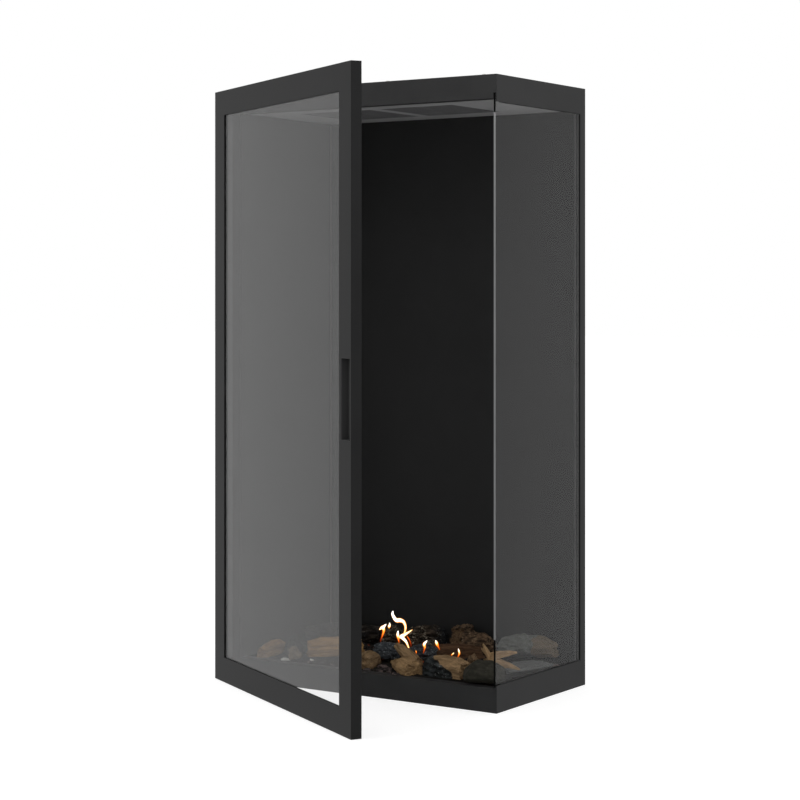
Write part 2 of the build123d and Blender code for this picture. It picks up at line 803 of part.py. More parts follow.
def lay_logs(label, logs):
    """Build the logs of one node in order, each clear of all that lie already, and write them."""
    group = []
    for log in logs:
        piece = build_log(log, [other for other in placed if reaches(log, other)])
        placed.append(piece)
        group.append(piece.part)
    node = group[0] if len(group) == 1 else Compound(children=group)
    node.label = label
    export_step(node, f"parts/{label}.step")


def reaches(log, other):
    """Say whether the log's surrounding box comes near a log that lies already."""
    box = other.part.bounding_box()
    half = log.length / 2 + log.width / 2
    near_x = box.min.X - half < log.x < box.max.X + half
    near_y = box.min.Y - half < log.y < box.max.Y + half
    return near_x and near_y


def lay_joined(label, logs):
    """Build one piece of wood from lengths that run into each other, clear of all that lie already."""
    lengths = [build_log(log) for log in logs]
    with BuildPart() as joined:
        for length in lengths:
            add(length.part)
        for other in placed:
            add(other.part, mode=Mode.SUBTRACT)
    store(joined, label)
    placed.append(joined)


thin_tip = (1.0, 0.9, 0.65, 0.3)
lay_logs(
    "log_front_left",
    [Log(-15, -98, floor_z, 104, 84, 40, 31, form="split", girths=(0.9, 1.0, 0.8, 0.4))],
)
lay_joined(
    "log_split_tan",
    [
        Log(77, -115, floor_z, 152, 106, 50, 29, rise=8, form="split", girths=(0.95, 1.05, 0.6, 0.16)),
        Log(64, -83, floor_z + 4, 160, 72, 30, 21, rise=31, form="split", girths=(1.0, 1.0, 0.85, 0.5)),
    ],
)
lay_logs(
    "logs_charcoal",
    [
        Log(-10, -48, embers_top, 38, 52, 44, 37),
        Log(60, -18, embers_top, 32, 54, 36, 34),
    ],
)
lay_logs(
    "log_bark_front",
    [Log(181, -122, floor_z, -6, 94, 50, 40, rise=3, form="block", girths=(0.85, 1.0, 0.95, 0.72))],
)
lay_logs("log_olive_corner", [Log(276, -140, floor_z, 4, 72, 56, 47, girths=(0.6, 0.95, 1.0, 0.8))])
lay_logs(
    "logs_left_end",
    [
        Log(-250, -112, floor_z, 98, 80, 32, 27, rise=4, form="split"),
        Log(-190, -108, floor_z, 123, 98, 44, 40),
        Log(-128, -60, embers_top, 45, 112, 42, 38, form="split"),
    ],
)
lay_logs(
    "logs_cross_red",
    [
        Log(93, 42, embers_top, 34, 118, 36, 30, form="split"),
        Log(196, -46, embers_top, 118, 50, 28, 30, form="split"),
    ],
)
lay_logs(
    "log_side_charcoal",
    [Log(262, 22, floor_z, 78, 120, 84, 14, girths=(0.85, 1.0, 1.0, 0.85))],
)
lay_logs(
    "log_back_right",
    [Log(221, 118, floor_z, 7, 124, 44, 48, rise=10, girths=(0.85, 1.05, 0.95, 0.68))],
)
lay_logs("log_back_left", [Log(-196, 62, embers_top, 34, 150, 42, 46)])
lay_logs(
    "logs_back_bark",
    [
        Log(-88, 94, floor_z, 34, 50, 44, 50),
        Log(-14, 104, floor_z, 30, 84, 46, 53),
    ],
)
lay_logs(
    "logs_back_brown",
    [
        Log(78, 106, floor_z, 100, 60, 40, 62, form="block", girths=(1.0, 1.0, 1.0, 0.9)),
        Log(128, 82, floor_z, 30, 70, 40, 54, form="block", girths=(1.0, 1.0, 0.95, 0.7)),
    ],
)
lay_joined(
    "log_forked",
    [
        Log(248, -18, floor_z + 13, -10, 80, 18, 16, rise=-5, form="split", girths=(0.8, 1.0, 0.75, 0.25)),
        Log(240, -9, floor_z + 16, 8, 62, 18, 17, rise=22, form="split", girths=(1.0, 0.95, 0.65, 0.25)),
        Log(206, -11, floor_z + 16, 158, 30, 15, 14, rise=30, form="split", girths=thin_tip),
        Log(205, -9, floor_z + 16, 162, 34, 12, 11, rise=22, form="split", girths=thin_tip),
        Log(208, -12, floor_z + 11, 165, 26, 13, 12, rise=6, form="split", girths=thin_tip),
    ],
)

# Glowing bed on the burner plate, and loose bark on the deck
ember_margin = (10.0, 5.0)
with BuildPart() as ember_bed:
    slab(
        (ember_margin[0] - half_burner, half_burner - ember_margin[0]),
        (burner_front + ember_margin[1], burner_rear - ember_margin[1]),
        (floor_z, embers_top),
    )
    for other in placed:
        add(other.part, mode=Mode.SUBTRACT)
store(ember_bed, "ember_bed")

chip_tries = 60
chip_clearance = 0.4
chip_size = 13.0
chip_size_swing = 6.0
chip_thickness = 4.0
chip_thickness_swing = 2.0
chip_corners = (70.0, 55.0)
chip_side_taper = 12.0
golden_step = 0.618034
golden_turn = 137.5
chip_field = ((-262.0, 300.0), (front_y + 26.0, -56.0))


def boxes_meet(first, second):
    """Say whether two surrounding boxes come within the chips' clearance in plan."""
    apart_x = first.min.X > second.max.X + chip_clearance or second.min.X > first.max.X + chip_clearance
    apart_y = first.min.Y > second.max.Y + chip_clearance or second.min.Y > first.max.Y + chip_clearance
    return not (apart_x or apart_y)


def build_flake(x, y, turn, size, thickness, neighbours=()):
    """Build one flake of bark on the deck and cut it back where it would run into its neighbours."""
    with BuildPart() as flake:
        with BuildSketch(Plane(origin=(x, y, floor_z))):
            with Locations(Rotation(0, 0, turn)):
                Trapezoid(size, size / 2, *chip_corners)
        extrude(amount=thickness, taper=chip_side_taper)
        for neighbour in neighbours:
            add(neighbour.part, mode=Mode.SUBTRACT)
    flake.part = max(flake.part.solids(), key=lambda solid: solid.volume)
    return flake


def build_chip(index):
    """Build the flake at its own spot of an even scatter over the deck."""
    (x_low, x_high), (y_low, y_high) = chip_field
    x = x_low + (index * golden_step % 1) * (x_high - x_low)
    y = y_low + (index + 0.5) / chip_tries * (y_high - y_low)
    size = chip_size + chip_size_swing * sin(1.7 * index)
    return build_flake(x, y, golden_turn * index, size, chip_thickness + chip_thickness_swing * cos(index))


# Larger flakes that show in front of the logs: place, turn and size
large_flakes = [
    (18, -103, 20, 30),
    (47, -122, -6, 24),
    (14, -148, 15, 18),
    (44, -145, -10, 20),
    (66, -148, -8, 14),
    (86, -154, 10, 16),
    (-187, -146, 30, 19),
    (-136, -127, 34, 9),
    (294, 101, 60, 16),
]
taken = [solid.bounding_box() for other in placed for solid in other.part.solids()]
chips = [build_flake(*spot, chip_thickness, placed) for spot in large_flakes]
taken += [chip.part.bounding_box() for chip in chips]
for index in range(chip_tries):
    chip = build_chip(index)
    room = chip.part.bounding_box()
    if not any(boxes_meet(room, other) for other in taken):
        taken.append(room)
        chips.append(chip)
with BuildPart() as bark_chips:
    for chip in chips:
        add(chip.part)
store(bark_chips, "bark_chips")
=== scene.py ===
"""Looks of the two-sided corner gas fireplace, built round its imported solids.

The frame is that of the solids: x along the front, y into the fire, z up. Lengths are metres, and sizes
written with MM are millimetres.
"""

from __future__ import annotations

import json
import logging
import math
import random
from collections import Counter
from dataclasses import dataclass, field
from enum import Enum
from typing import Callable, Iterable, Sequence

import bmesh
import bpy
from mathutils import Matrix, Vector, noise

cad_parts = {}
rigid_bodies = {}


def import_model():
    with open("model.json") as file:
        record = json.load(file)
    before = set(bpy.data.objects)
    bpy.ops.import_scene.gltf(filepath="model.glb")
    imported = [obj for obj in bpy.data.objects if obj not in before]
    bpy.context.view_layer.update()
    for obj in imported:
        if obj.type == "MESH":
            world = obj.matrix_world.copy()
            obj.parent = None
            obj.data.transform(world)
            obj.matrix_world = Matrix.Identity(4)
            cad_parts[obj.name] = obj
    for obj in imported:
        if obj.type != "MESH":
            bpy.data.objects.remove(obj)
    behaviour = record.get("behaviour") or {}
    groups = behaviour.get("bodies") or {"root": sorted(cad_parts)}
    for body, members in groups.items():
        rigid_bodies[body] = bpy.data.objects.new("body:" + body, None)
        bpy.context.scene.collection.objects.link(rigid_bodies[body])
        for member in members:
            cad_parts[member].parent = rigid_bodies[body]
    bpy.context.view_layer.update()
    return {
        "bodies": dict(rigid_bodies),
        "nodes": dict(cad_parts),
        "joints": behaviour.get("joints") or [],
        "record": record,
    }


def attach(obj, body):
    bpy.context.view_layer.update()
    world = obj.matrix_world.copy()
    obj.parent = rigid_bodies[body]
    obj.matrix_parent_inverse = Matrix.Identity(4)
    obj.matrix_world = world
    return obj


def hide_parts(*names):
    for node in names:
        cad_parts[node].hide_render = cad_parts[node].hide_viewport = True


log = logging.getLogger("fireplace")
MM = 0.001
CAMERA_TURN = 33.814
UPRIGHT = Vector((0.0, 0.0, 1.0))
WHITE = (1.0, 1.0, 1.0)
BLACK = (0.0, 0.0, 0.0)
# How wide the rounded edges of sheets and bars are, and how near two places count as one, in millimetres
ROUNDING = 0.5
NEAR = 0.1
# The distance from crest to crest of a wave texture whose scale is 1
WAVE_PITCH = 0.314
Colour = tuple[float, float, float]


class Body(Enum):
    """The two bodies that a piece can ride on."""

    CASING = "casing"
    DOOR = "door"


class Form(Enum):
    """How a log was cut: left round, or split along the grain to a wedge or a block."""

    ROUND = "round"
    SPLIT = "split"
    BLOCK = "block"


class Signal:
    """One output socket of a node tree, with arithmetic that adds the nodes it needs."""

    def __init__(self, nodes: Nodes, socket: bpy.types.NodeSocket) -> None:
        """Wrap a socket.

        Args:
            nodes: The tree that the socket belongs to.
            socket: The output socket.
        """
        self.nodes = nodes
        self.socket = socket

    def _math(self, operation: str, first: object, second: object) -> Signal:
        """Return the result of one operation on two values."""
        return self.nodes.node("ShaderNodeMath", {"operation": operation}, {0: first, 1: second})

    def __add__(self, other: object) -> Signal:
        """Return self + other."""
        return self._math("ADD", self, other)

    def __sub__(self, other: object) -> Signal:
        """Return self - other."""
        return self._math("SUBTRACT", self, other)

    def __rsub__(self, other: object) -> Signal:
        """Return other - self."""
        return self._math("SUBTRACT", other, self)

    def __mul__(self, other: object) -> Signal:
        """Return self * other."""
        return self._math("MULTIPLY", self, other)

    __radd__ = __add__
    __rmul__ = __mul__

    def larger(self, other: object) -> Signal:
        """Return the larger of self and other."""
        return self._math("MAXIMUM", self, other)

    def steps(self, low: float, high: float) -> Signal:
        """Return 0 below low, 1 above high and a smooth rise between them."""
        settings = {"interpolation_type": "SMOOTHSTEP"}
        return self.nodes.node("ShaderNodeMapRange", settings, {0: self, 1: low, 2: high})


class Nodes:
    """A node tree and the way its nodes are added and fed."""

    def __init__(self, tree: bpy.types.NodeTree) -> None:
        """Wrap a node tree."""
        self.tree = tree

    def fill(self, socket: bpy.types.NodeSocket, value: object) -> None:
        """Link a signal to an input socket, or write a constant on it.

        Args:
            socket: The input socket.
            value: A signal, a number, a vector or a colour.
        """
        if isinstance(value, Signal):
            self.tree.links.new(value.socket, socket)
        elif isinstance(value, tuple) and socket.type == "RGBA":
            socket.default_value = (*value, 1.0)
        else:
            socket.default_value = value

    def node(self, kind: str, settings: dict, inputs: dict, output: int | str = 0) -> Signal:
        """Add a node and return one of its outputs.

        Args:
            kind: The node's type name.
            settings: The node's own properties, and "stops" for a colour ramp.
            inputs: Values or signals by the input's name or number.
            output: The name or number of the output wanted.

        Returns:
            The wrapped output.
        """
        made = self.tree.nodes.new(kind)
        for key, value in settings.items():
            if key == "stops":
                set_stops(made.color_ramp, value)
            else:
                setattr(made, key, value)
        for key, value in inputs.items():
            self.fill(made.inputs[key], value)
        return Signal(self, made.outputs[output])

    def ways(self) -> list[Signal]:
        """Return whether a ray comes straight to the camera, from a mirror, and through glass."""
        path = self.tree.nodes.new("ShaderNodeLightPath")
        return [Signal(self, path.outputs[f"Is {way} Ray"]) for way in ("Camera", "Glossy", "Transmission")]


class Look(Nodes):
    """A material being made: a Principled shader and the nodes that feed it."""

    def __init__(self, name: str) -> None:
        """Start an empty material.

        Args:
            name: The material's name.
        """
        self.material = bpy.data.materials.new(name)
        self.material.use_nodes = True
        super().__init__(self.material.node_tree)
        self.tree.nodes.clear()
        self.output = self.tree.nodes.new("ShaderNodeOutputMaterial")
        self.shader = self.tree.nodes.new("ShaderNodeBsdfPrincipled")
        self.tree.links.new(self.shader.outputs[0], self.output.inputs["Surface"])

    def set(self, **values: object) -> None:
        """Fill the shader's own sockets, named with underscores for spaces."""
        for key, value in values.items():
            self.fill(self.shader.inputs[key.replace("_", " ").title().replace("Ior", "IOR")], value)

    def place(self) -> Signal:
        """Return the object coordinates."""
        return self.node("ShaderNodeTexCoord", {}, {}, "Object")

    def attribute(self, name: str, output: str) -> Signal:
        """Return one output of a mesh attribute."""
        return self.node("ShaderNodeAttribute", {"attribute_name": name}, {}, output)

    def stretched(self, vector: Signal, scale: Sequence[float]) -> Signal:
        """Return the vector multiplied by a scale on each axis."""
        return self.node("ShaderNodeVectorMath", {"operation": "MULTIPLY"}, {0: vector, 1: tuple(scale)})

    def noise(self, vector: Signal, scale: float, detail: float = 3.0, roughness: float = 0.55) -> Signal:
        """Return a noise value from 0 to 1, with features of about 1 / scale."""
        values = {"Vector": vector, "Scale": scale, "Detail": detail, "Roughness": roughness}
        return self.node("ShaderNodeTexNoise", {}, values, "Fac")

    def cracks(self, vector: Signal, scale: float) -> Signal:
        """Return the distance to the nearest border between cells of about 1 / scale."""
        settings = {"feature": "DISTANCE_TO_EDGE"}
        return self.node("ShaderNodeTexVoronoi", settings, {"Vector": vector, "Scale": scale})

    def wave(self, vector: Signal, axis: str, pitch: float) -> Signal:
        """Return a sine wave from 0 to 1 along one axis, with that distance from crest to crest."""
        settings = {"wave_type": "BANDS", "bands_direction": axis, "wave_profile": "SIN"}
        values = {"Vector": vector, "Scale": WAVE_PITCH / pitch}
        return self.node("ShaderNodeTexWave", settings, values, "Fac")

    def mix(self, share: object, first: object, second: object) -> Signal:
        """Return two colours mixed by a share from 0 to 1."""
        colour_a, colour_b, result = 6, 7, 2
        inputs = {"Factor": share, colour_a: first, colour_b: second}
        return self.node("ShaderNodeMix", {"data_type": "RGBA"}, inputs, result)

    def shades(self, share: Signal, colour: Colour, low: float, high: float) -> Signal:
        """Return a colour that goes from its darker to its lighter shade with a share from 0 to 1."""
        return self.mix(share, scaled(colour, low), scaled(colour, high))

    def ramp(self, value: Signal, stops: Sequence[tuple[float, Colour]]) -> Signal:
        """Return a colour read from a ramp."""
        return self.node("ShaderNodeValToRGB", {"stops": stops}, {0: value})

    def bump(self, height: Signal, depth: float) -> Signal:
        """Return the normal bent by a height from 0 to 1 that stands for depth metres."""
        return self.node("ShaderNodeBump", {}, {"Height": height, "Distance": depth, "Strength": 1.0})


def set_stops(ramp: bpy.types.ColorRamp, stops: Sequence[tuple[float, Colour]]) -> None:
    """Give a colour ramp its stops.

    Args:
        ramp: The ramp to fill.
        stops: Position and colour of each stop, in rising order.
    """
    while len(ramp.elements) < len(stops):
        ramp.elements.new(1.0)
    for element, (position, colour) in zip(ramp.elements, stops):
        element.position = position
        element.color = (*colour, 1.0)


def scaled(colour: Colour, factor: float) -> Colour:
    """Return a colour made lighter or darker."""
    return tuple(min(channel * factor, 1.0) for channel in colour)


@dataclass(frozen=True)
class Finish:
    """What a material looks like. Each kind of finish fills the shader in its own way."""

    name: str

    def make(self) -> bpy.types.Material:
        """Return the material."""
        look = Look(self.name)
        self.fill(look)
        return look.material

    def fill(self, look: Look) -> None:
        """Fill the shader of a look."""
        raise NotImplementedError


@dataclass(frozen=True)
class PowderCoat(Finish):
    """Matt powder coat on steel: a fine even texture and a faint cloudiness in its tone."""

    colour: Colour
    roughness: float = 0.45
    gloss: float = 0.065
    grain: float = 1.1 * MM
    depth: float = 0.012 * MM
    cloud: float = 0.07

    def fill(self, look: Look) -> None:
        """Fill the shader of a look."""
        place = look.place()
        cloud = look.noise(place, 9.0, 4.0)
        look.set(
            base_color=look.shades(cloud.steps(0.3, 0.7), self.colour, 1 - self.cloud, 1 + self.cloud),
            roughness=self.roughness,
            specular_ior_level=self.gloss,
        )
        if self.depth:
            speck = look.noise(place, 1 / self.grain, 2.0)
            look.set(
                roughness=self.roughness + 0.06 * (cloud - 0.5) + 0.04 * (speck - 0.5),
                normal=look.bump(speck, self.depth),
            )


@dataclass(frozen=True)
class ZincSheet(Finish):
    """Zinc-coated steel sheet with its frosty crystals."""

    colour: Colour = (0.46, 0.47, 0.48)
    crystal: float = 9 * MM

    def fill(self, look: Look) -> None:
        """Fill the shader of a look."""
        place = look.place()
        values = {"Vector": place, "Scale": 1 / self.crystal}
        crystal = look.node("ShaderNodeTexVoronoi", {"feature": "F1"}, values, "Color")
        tone = look.node("ShaderNodeSeparateColor", {}, {0: crystal})
        smear = look.noise(place, 6.0, 5.0)
        look.set(
            base_color=look.shades(0.5 * tone + 0.5 * smear, self.colour, 0.86, 1.10),
            metallic=0.9,
            roughness=0.38 + 0.09 * tone + 0.06 * smear,
            normal=look.bump(look.noise(place, 900.0, 2.0), 0.02 * MM),
        )


@dataclass(frozen=True)
class BareMetal(Finish):
    """Bare metal with fine brushing along one axis and a tint of heat or handling."""

    colour: Colour
    roughness: float = 0.28
    brushing: tuple[float, float, float] = (1.0, 1.0, 14.0)
    stain: Colour | None = None

    def fill(self, look: Look) -> None:
        """Fill the shader of a look."""
        place = look.place()
        lines = look.noise(look.stretched(place, self.brushing), 420.0, 3.0)
        patch = look.noise(place, 30.0, 3.0)
        look.set(
            base_color=look.mix(
                patch.steps(0.45, 0.75), self.colour, self.stain or scaled(self.colour, 0.8)
            ),
            metallic=1.0,
            roughness=self.roughness + 0.2 * (lines - 0.5) + 0.1 * (patch - 0.5),
            normal=look.bump(lines, 0.015 * MM),
        )


@dataclass(frozen=True)
class Pane(Finish):
    """Heat-proof glass with a weakly reflecting coat and a grey tint."""

    tint: Colour
    index: float

    def fill(self, look: Look) -> None:
        """Fill the shader of a look."""
        look.set(base_color=self.tint, roughness=0.0, ior=self.index, transmission_weight=1.0)


@dataclass(frozen=True)
class Fibre(Finish):
    """Pressed or moulded mineral stuff: matt, speckled, with small pits."""

    colour: Colour
    speckle: float = 2.5 * MM
    depth: float = 0.3 * MM
    roughness: float = 0.9
    contrast: float = 0.25

    def fill(self, look: Look) -> None:
        """Fill the shader of a look."""
        place = look.place()
        speck = look.noise(place, 1 / self.speckle, 4.0, 0.65)
        patch = look.noise(place, 14.0, 3.0)
        share = (0.6 * speck + 0.4 * patch).steps(0.35, 0.65)
        look.set(
            base_color=look.shades(share, self.colour, 1 - self.contrast, 1 + self.contrast),
            roughness=self.roughness,
            specular_ior_level=0.2,
            normal=look.bump(speck, self.depth),
        )


@dataclass(frozen=True)
class WovenTape(Finish):
    """Woven glass tape: crossing yarns, matt and dark."""

    colour: Colour
    yarn: float = 1.2 * MM

    def fill(self, look: Look) -> None:
        """Fill the shader of a look."""
        turned = look.node("ShaderNodeMapping", {}, {"Vector": look.place(), "Rotation": (0.6, 0.0, 0.785)})
        weave = look.wave(turned, "X", self.yarn).larger(look.wave(turned, "Z", self.yarn))
        look.set(
            base_color=look.shades(weave, self.colour, 0.55, 1.0),
            roughness=0.85,
            specular_ior_level=0.1,
            normal=look.bump(weave, 0.25 * MM),
        )


@dataclass(frozen=True)
class LogPaint(Finish):
    """Painted ceramic that looks like wood: split grain, bark and char, laid by the mesh's own masks.

    Light and dark are the tones of bare wood, and the next three are those of bark, where a log has any. The
    crevice tone also paints shade into the deepest bark furrows.
    """

    light: Colour
    dark: Colour
    bark: Colour = (0.100, 0.102, 0.080)
    crevice: Colour = (0.020, 0.015, 0.010)
    fleck: Colour = (0.180, 0.180, 0.145)
    coal: Colour = (0.013, 0.014, 0.015)
    ash: Colour = (0.085, 0.092, 0.095)
    flecks: tuple[float, float] = (0.56, 0.66)

    def fill(self, look: Look) -> None:
        """Fill the shader of a look."""
        grain = look.attribute("grain", "Vector")
        bark_share = look.attribute("bark", "Fac")
        char_share = look.attribute("char", "Fac")
        hollow = look.attribute("hollow", "Fac")
        fibres = look.noise(look.stretched(grain, (0.06, 1, 1)), 520.0, 4.0, 0.6)
        streaks = look.noise(look.stretched(grain, (0.10, 1, 1)), 150.0, 3.0, 0.6)
        blotches = look.noise(grain, 60.0, 3.0)
        wood = look.mix((0.5 * fibres + 0.5 * streaks).steps(0.38, 0.60), self.dark, self.light)
        wood = look.mix(blotches.steps(0.52, 0.75) * 0.5, wood, self.dark)
        plates = look.noise(look.stretched(grain, (0.45, 1, 1)), 130.0, 4.0, 0.62)
        bark = look.mix(plates.steps(0.42, 0.62), self.crevice, self.bark)
        specks = look.noise(look.stretched(grain, (0.6, 1, 1)), 330.0, 3.0, 0.7)
        fleck_share = specks.steps(*self.flecks) * blotches.steps(0.42, 0.6)
        bark = look.mix(fleck_share, bark, self.fleck)
        crazing = look.cracks(look.stretched(grain, (0.7, 1, 1)), 110.0).steps(0.0, 0.2)
        coal = look.mix(specks.steps(0.5, 0.68) * crazing, self.coal, self.ash)
        surface = look.mix(char_share, look.mix(bark_share, wood, bark), coal)
        height = look.mix(char_share, look.mix(bark_share, fibres, 0.7 * plates + 0.3 * specks), crazing)
        look.set(
            # Painted shade: the deepest bark furrows are darkened to the crevice tone, beyond the bark's own
            # darker furrows
            base_color=look.mix(hollow, surface, self.crevice),
            roughness=0.9,
            specular_ior_level=0.12,
            normal=look.bump(height, 1.6 * MM),
        )


@dataclass(frozen=True)
class EmberPaint(Finish):
    """Granules of the ember bed: coal and ash outside, a few with a glow at the core."""

    coal: Colour = (0.016, 0.014, 0.013)
    ash: Colour = (0.10, 0.085, 0.07)
    ember: Colour = (1.0, 0.14, 0.015)
    strength: float = 0.9

    def fill(self, look: Look) -> None:
        """Fill the shader of a look."""
        place = look.place()
        speck = look.noise(place, 260.0, 4.0, 0.65)
        patch = look.noise(place, 45.0, 2.0)
        glow = look.attribute("glow", "Fac")
        look.set(
            base_color=look.mix(speck.steps(0.5, 0.7) * patch.steps(0.35, 0.7), self.coal, self.ash),
            roughness=0.92,
            specular_ior_level=0.1,
            emission_color=look.mix(glow * patch.steps(0.45, 0.65), BLACK, self.ember),
            emission_strength=self.strength,
            normal=look.bump(speck, 0.8 * MM),
        )


@dataclass(frozen=True)
class FlameLight(Finish):
    """A gas flame: clear at its root, red and orange low down, white towards its tips."""

    strength: float = 2.3

    def fill(self, look: Look) -> None:
        """Fill the shader of a look."""
        flicker = look.noise(look.place(), 260.0, 2.0)
        rim = look.node("ShaderNodeLayerWeight", {}, {"Blend": 0.5}, "Facing")
        level = look.attribute("glow", "Fac") + 0.2 * (flicker - 0.5) - 1.15 * rim
        stops = (
            (0.0, (0.03, 0.003, 0.0)),
            (0.2, (0.18, 0.014, 0.001)),
            (0.42, (0.46, 0.075, 0.004)),
            (0.6, (0.80, 0.30, 0.03)),
            (0.76, (1.0, 0.80, 0.42)),
            (0.95, (1.0, 1.0, 0.96)),
        )
        look.set(
            base_color=BLACK,
            roughness=1.0,
            specular_ior_level=0.0,
            emission_color=look.ramp(level, stops),
            emission_strength=self.strength,
            alpha=level.steps(0.0, 0.35),
        )


FINISHES = (
    PowderCoat("casing_black", (0.033, 0.033, 0.0333)),
    PowderCoat("door_black", (0.0195, 0.0195, 0.0197)),
    # pull_black is painted lighter than the door's coat: painted light that makes up for the shade inside the
    # pull's recess
    PowderCoat("pull_black", (0.062, 0.062, 0.0625), 0.7, 0.03),
    PowderCoat("lining_black", (0.023, 0.023, 0.0232), 0.8, 0.05, depth=0.0, cloud=0.03),
    PowderCoat("ceiling_steel", (0.31, 0.31, 0.312), 0.7, 0.05, depth=0.0, cloud=0.03),
    PowderCoat("grille_steel", (0.14, 0.14, 0.142), 0.7, 0.05, depth=0.0),
    PowderCoat("retainer_steel", (0.05, 0.05, 0.05), 0.6, 0.06, depth=0.0),
    PowderCoat("hinge_steel", (0.03, 0.03, 0.03), 0.4, 0.3),
    PowderCoat("deck_steel", (0.016, 0.0145, 0.013), 0.8, 0.04, depth=0.0),
    # Near black: painted shade on the ends of the side pane's front edge
    PowderCoat("painted_edge_shade", (0.003, 0.003, 0.003), 0.6, 0.02, depth=0.0),
    ZincSheet("casing_steel"),
    ZincSheet("hood_steel", (0.42, 0.42, 0.43)),
    BareMetal("flue_steel", (0.56, 0.55, 0.54), 0.26),
    BareMetal("screw_steel", (0.62, 0.61, 0.58), 0.3, (1.0, 1.0, 1.0)),
    BareMetal("washer_brass", (0.68, 0.50, 0.22), 0.3),
    BareMetal("pipe_steel", (0.58, 0.57, 0.56), 0.22, (1.0, 1.0, 1.0)),
    BareMetal("fitting_brass", (0.70, 0.52, 0.22), 0.24, (1.0, 1.0, 1.0)),
    BareMetal("pilot_steel", (0.42, 0.38, 0.34), 0.4, (1.0, 1.0, 4.0), (0.22, 0.16, 0.20)),
    BareMetal("magnet", (0.60, 0.60, 0.61), 0.2, (1.0, 1.0, 1.0)),
    Pane("clear_glass", (0.93, 0.93, 0.93), 1.151),
    Pane("door_clear_glass", (0.87, 0.87, 0.87), 1.226),
    # Grey with a ground-glass look: painted light on the middle of the side pane's front edge
    Fibre("lit_ground_glass", (0.25, 0.25, 0.25), 3 * MM, 0.01 * MM, 0.6, 0.04),
    Fibre("insulation_board", (0.74, 0.70, 0.61)),
    Fibre("burner_ceramic", (0.30, 0.26, 0.23), 1.5 * MM, 0.2 * MM),
    Fibre("electrode_ceramic", (0.40, 0.38, 0.35), 6 * MM, 0.02 * MM, 0.25, 0.05),
    Fibre("gland_rubber", (0.025, 0.025, 0.026), 1.0 * MM, 0.05 * MM, 0.7, 0.15),
    WovenTape("glazing_seal", (0.05, 0.05, 0.05)),
    # A lighter copy of the glazing tape: a painted highlight for the light line along the side pane's rear
    # edge
    WovenTape("edge_tape_lit", (0.13, 0.13, 0.13)),
    EmberPaint("embers"),
    FlameLight("flame"),
    # The tones of light wood, dark wood, bark, its furrows and its flecks
    # log_tan_bright, log_tan_mid, log_tan_dim and log_tan_far are lighter and darker copies of log_tan, and
    # log_bark_far a darker copy of log_bark, each set for the light its log gets: painted light and shade
    LogPaint("log_tan", (0.330, 0.212, 0.105), (0.160, 0.100, 0.050)),
    LogPaint("log_tan_bright", (0.440, 0.290, 0.150), (0.250, 0.160, 0.082)),
    LogPaint("log_tan_mid", (0.275, 0.180, 0.094), (0.120, 0.078, 0.042)),
    LogPaint("log_tan_dim", (0.245, 0.160, 0.085), (0.100, 0.066, 0.036)),
    LogPaint("log_tan_far", (0.290, 0.175, 0.070), (0.140, 0.080, 0.032)),
    LogPaint("log_red", (0.100, 0.055, 0.030), (0.034, 0.018, 0.010)),
    LogPaint("log_bark", (0.180, 0.130, 0.080), (0.085, 0.060, 0.036), (0.072, 0.055, 0.040),
             (0.008, 0.006, 0.004), (0.330, 0.300, 0.235), flecks=(0.53, 0.62)),
    LogPaint("log_bark_far", (0.110, 0.078, 0.048), (0.050, 0.035, 0.021), (0.046, 0.036, 0.026),
             (0.007, 0.005, 0.004), (0.130, 0.120, 0.095)),
    LogPaint("log_green_far", (0.200, 0.150, 0.095), (0.110, 0.085, 0.055), (0.044, 0.047, 0.042),
             (0.012, 0.012, 0.010), (0.080, 0.080, 0.070)),
    LogPaint("log_bark_blue", (0.305, 0.198, 0.103), (0.140, 0.090, 0.047), (0.046, 0.051, 0.052),
             (0.008, 0.009, 0.009), (0.185, 0.190, 0.180)),
    LogPaint("log_bark_pale", (0.165, 0.128, 0.088), (0.118, 0.092, 0.062), (0.140, 0.146, 0.134),
             (0.098, 0.100, 0.090), (0.172, 0.178, 0.163)),
    LogPaint("log_ash", (0.150, 0.152, 0.146), (0.115, 0.116, 0.110), (0.140, 0.145, 0.140),
             (0.092, 0.094, 0.088), (0.175, 0.180, 0.172)),
    LogPaint("log_brown", (0.200, 0.128, 0.072), (0.072, 0.046, 0.026), (0.150, 0.097, 0.058),
             (0.026, 0.017, 0.011), (0.290, 0.205, 0.132), flecks=(0.54, 0.66)),
    LogPaint("log_olive", (0.047, 0.044, 0.034), (0.032, 0.030, 0.023), (0.037, 0.035, 0.027),
             (0.022, 0.021, 0.016), (0.050, 0.048, 0.038)),
    LogPaint("log_char", (0.105, 0.106, 0.104), (0.034, 0.035, 0.036), (0.060, 0.067, 0.073),
             (0.006, 0.006, 0.007), (0.215, 0.225, 0.230),
             coal=(0.044, 0.049, 0.054), ash=(0.225, 0.240, 0.250)),
    # The bark chips' near-white wood tones show only on the two chips that stand for glints: painted
    # highlights
    LogPaint("bark", (0.85, 0.84, 0.80), (0.60, 0.59, 0.55), (0.140, 0.105, 0.098),
             (0.024, 0.015, 0.014), (0.220, 0.150, 0.125)),
)


def never(*_: object) -> bool:
    """Say no of any edge or face."""
    return False


def bevel(mesh: bmesh.types.BMesh, edges: Sequence[bmesh.types.BMEdge], width: float, segments: int) -> list:
    """Round or chamfer edges by a width in millimetres and return the new faces."""
    made = bmesh.ops.bevel(
        mesh,
        geom=edges,
        offset=width * MM,
        offset_type="OFFSET",
        segments=segments,
        profile=0.5,
        affect="EDGES",
        clamp_overlap=True,
        material=-1,
    )
    return made["faces"]


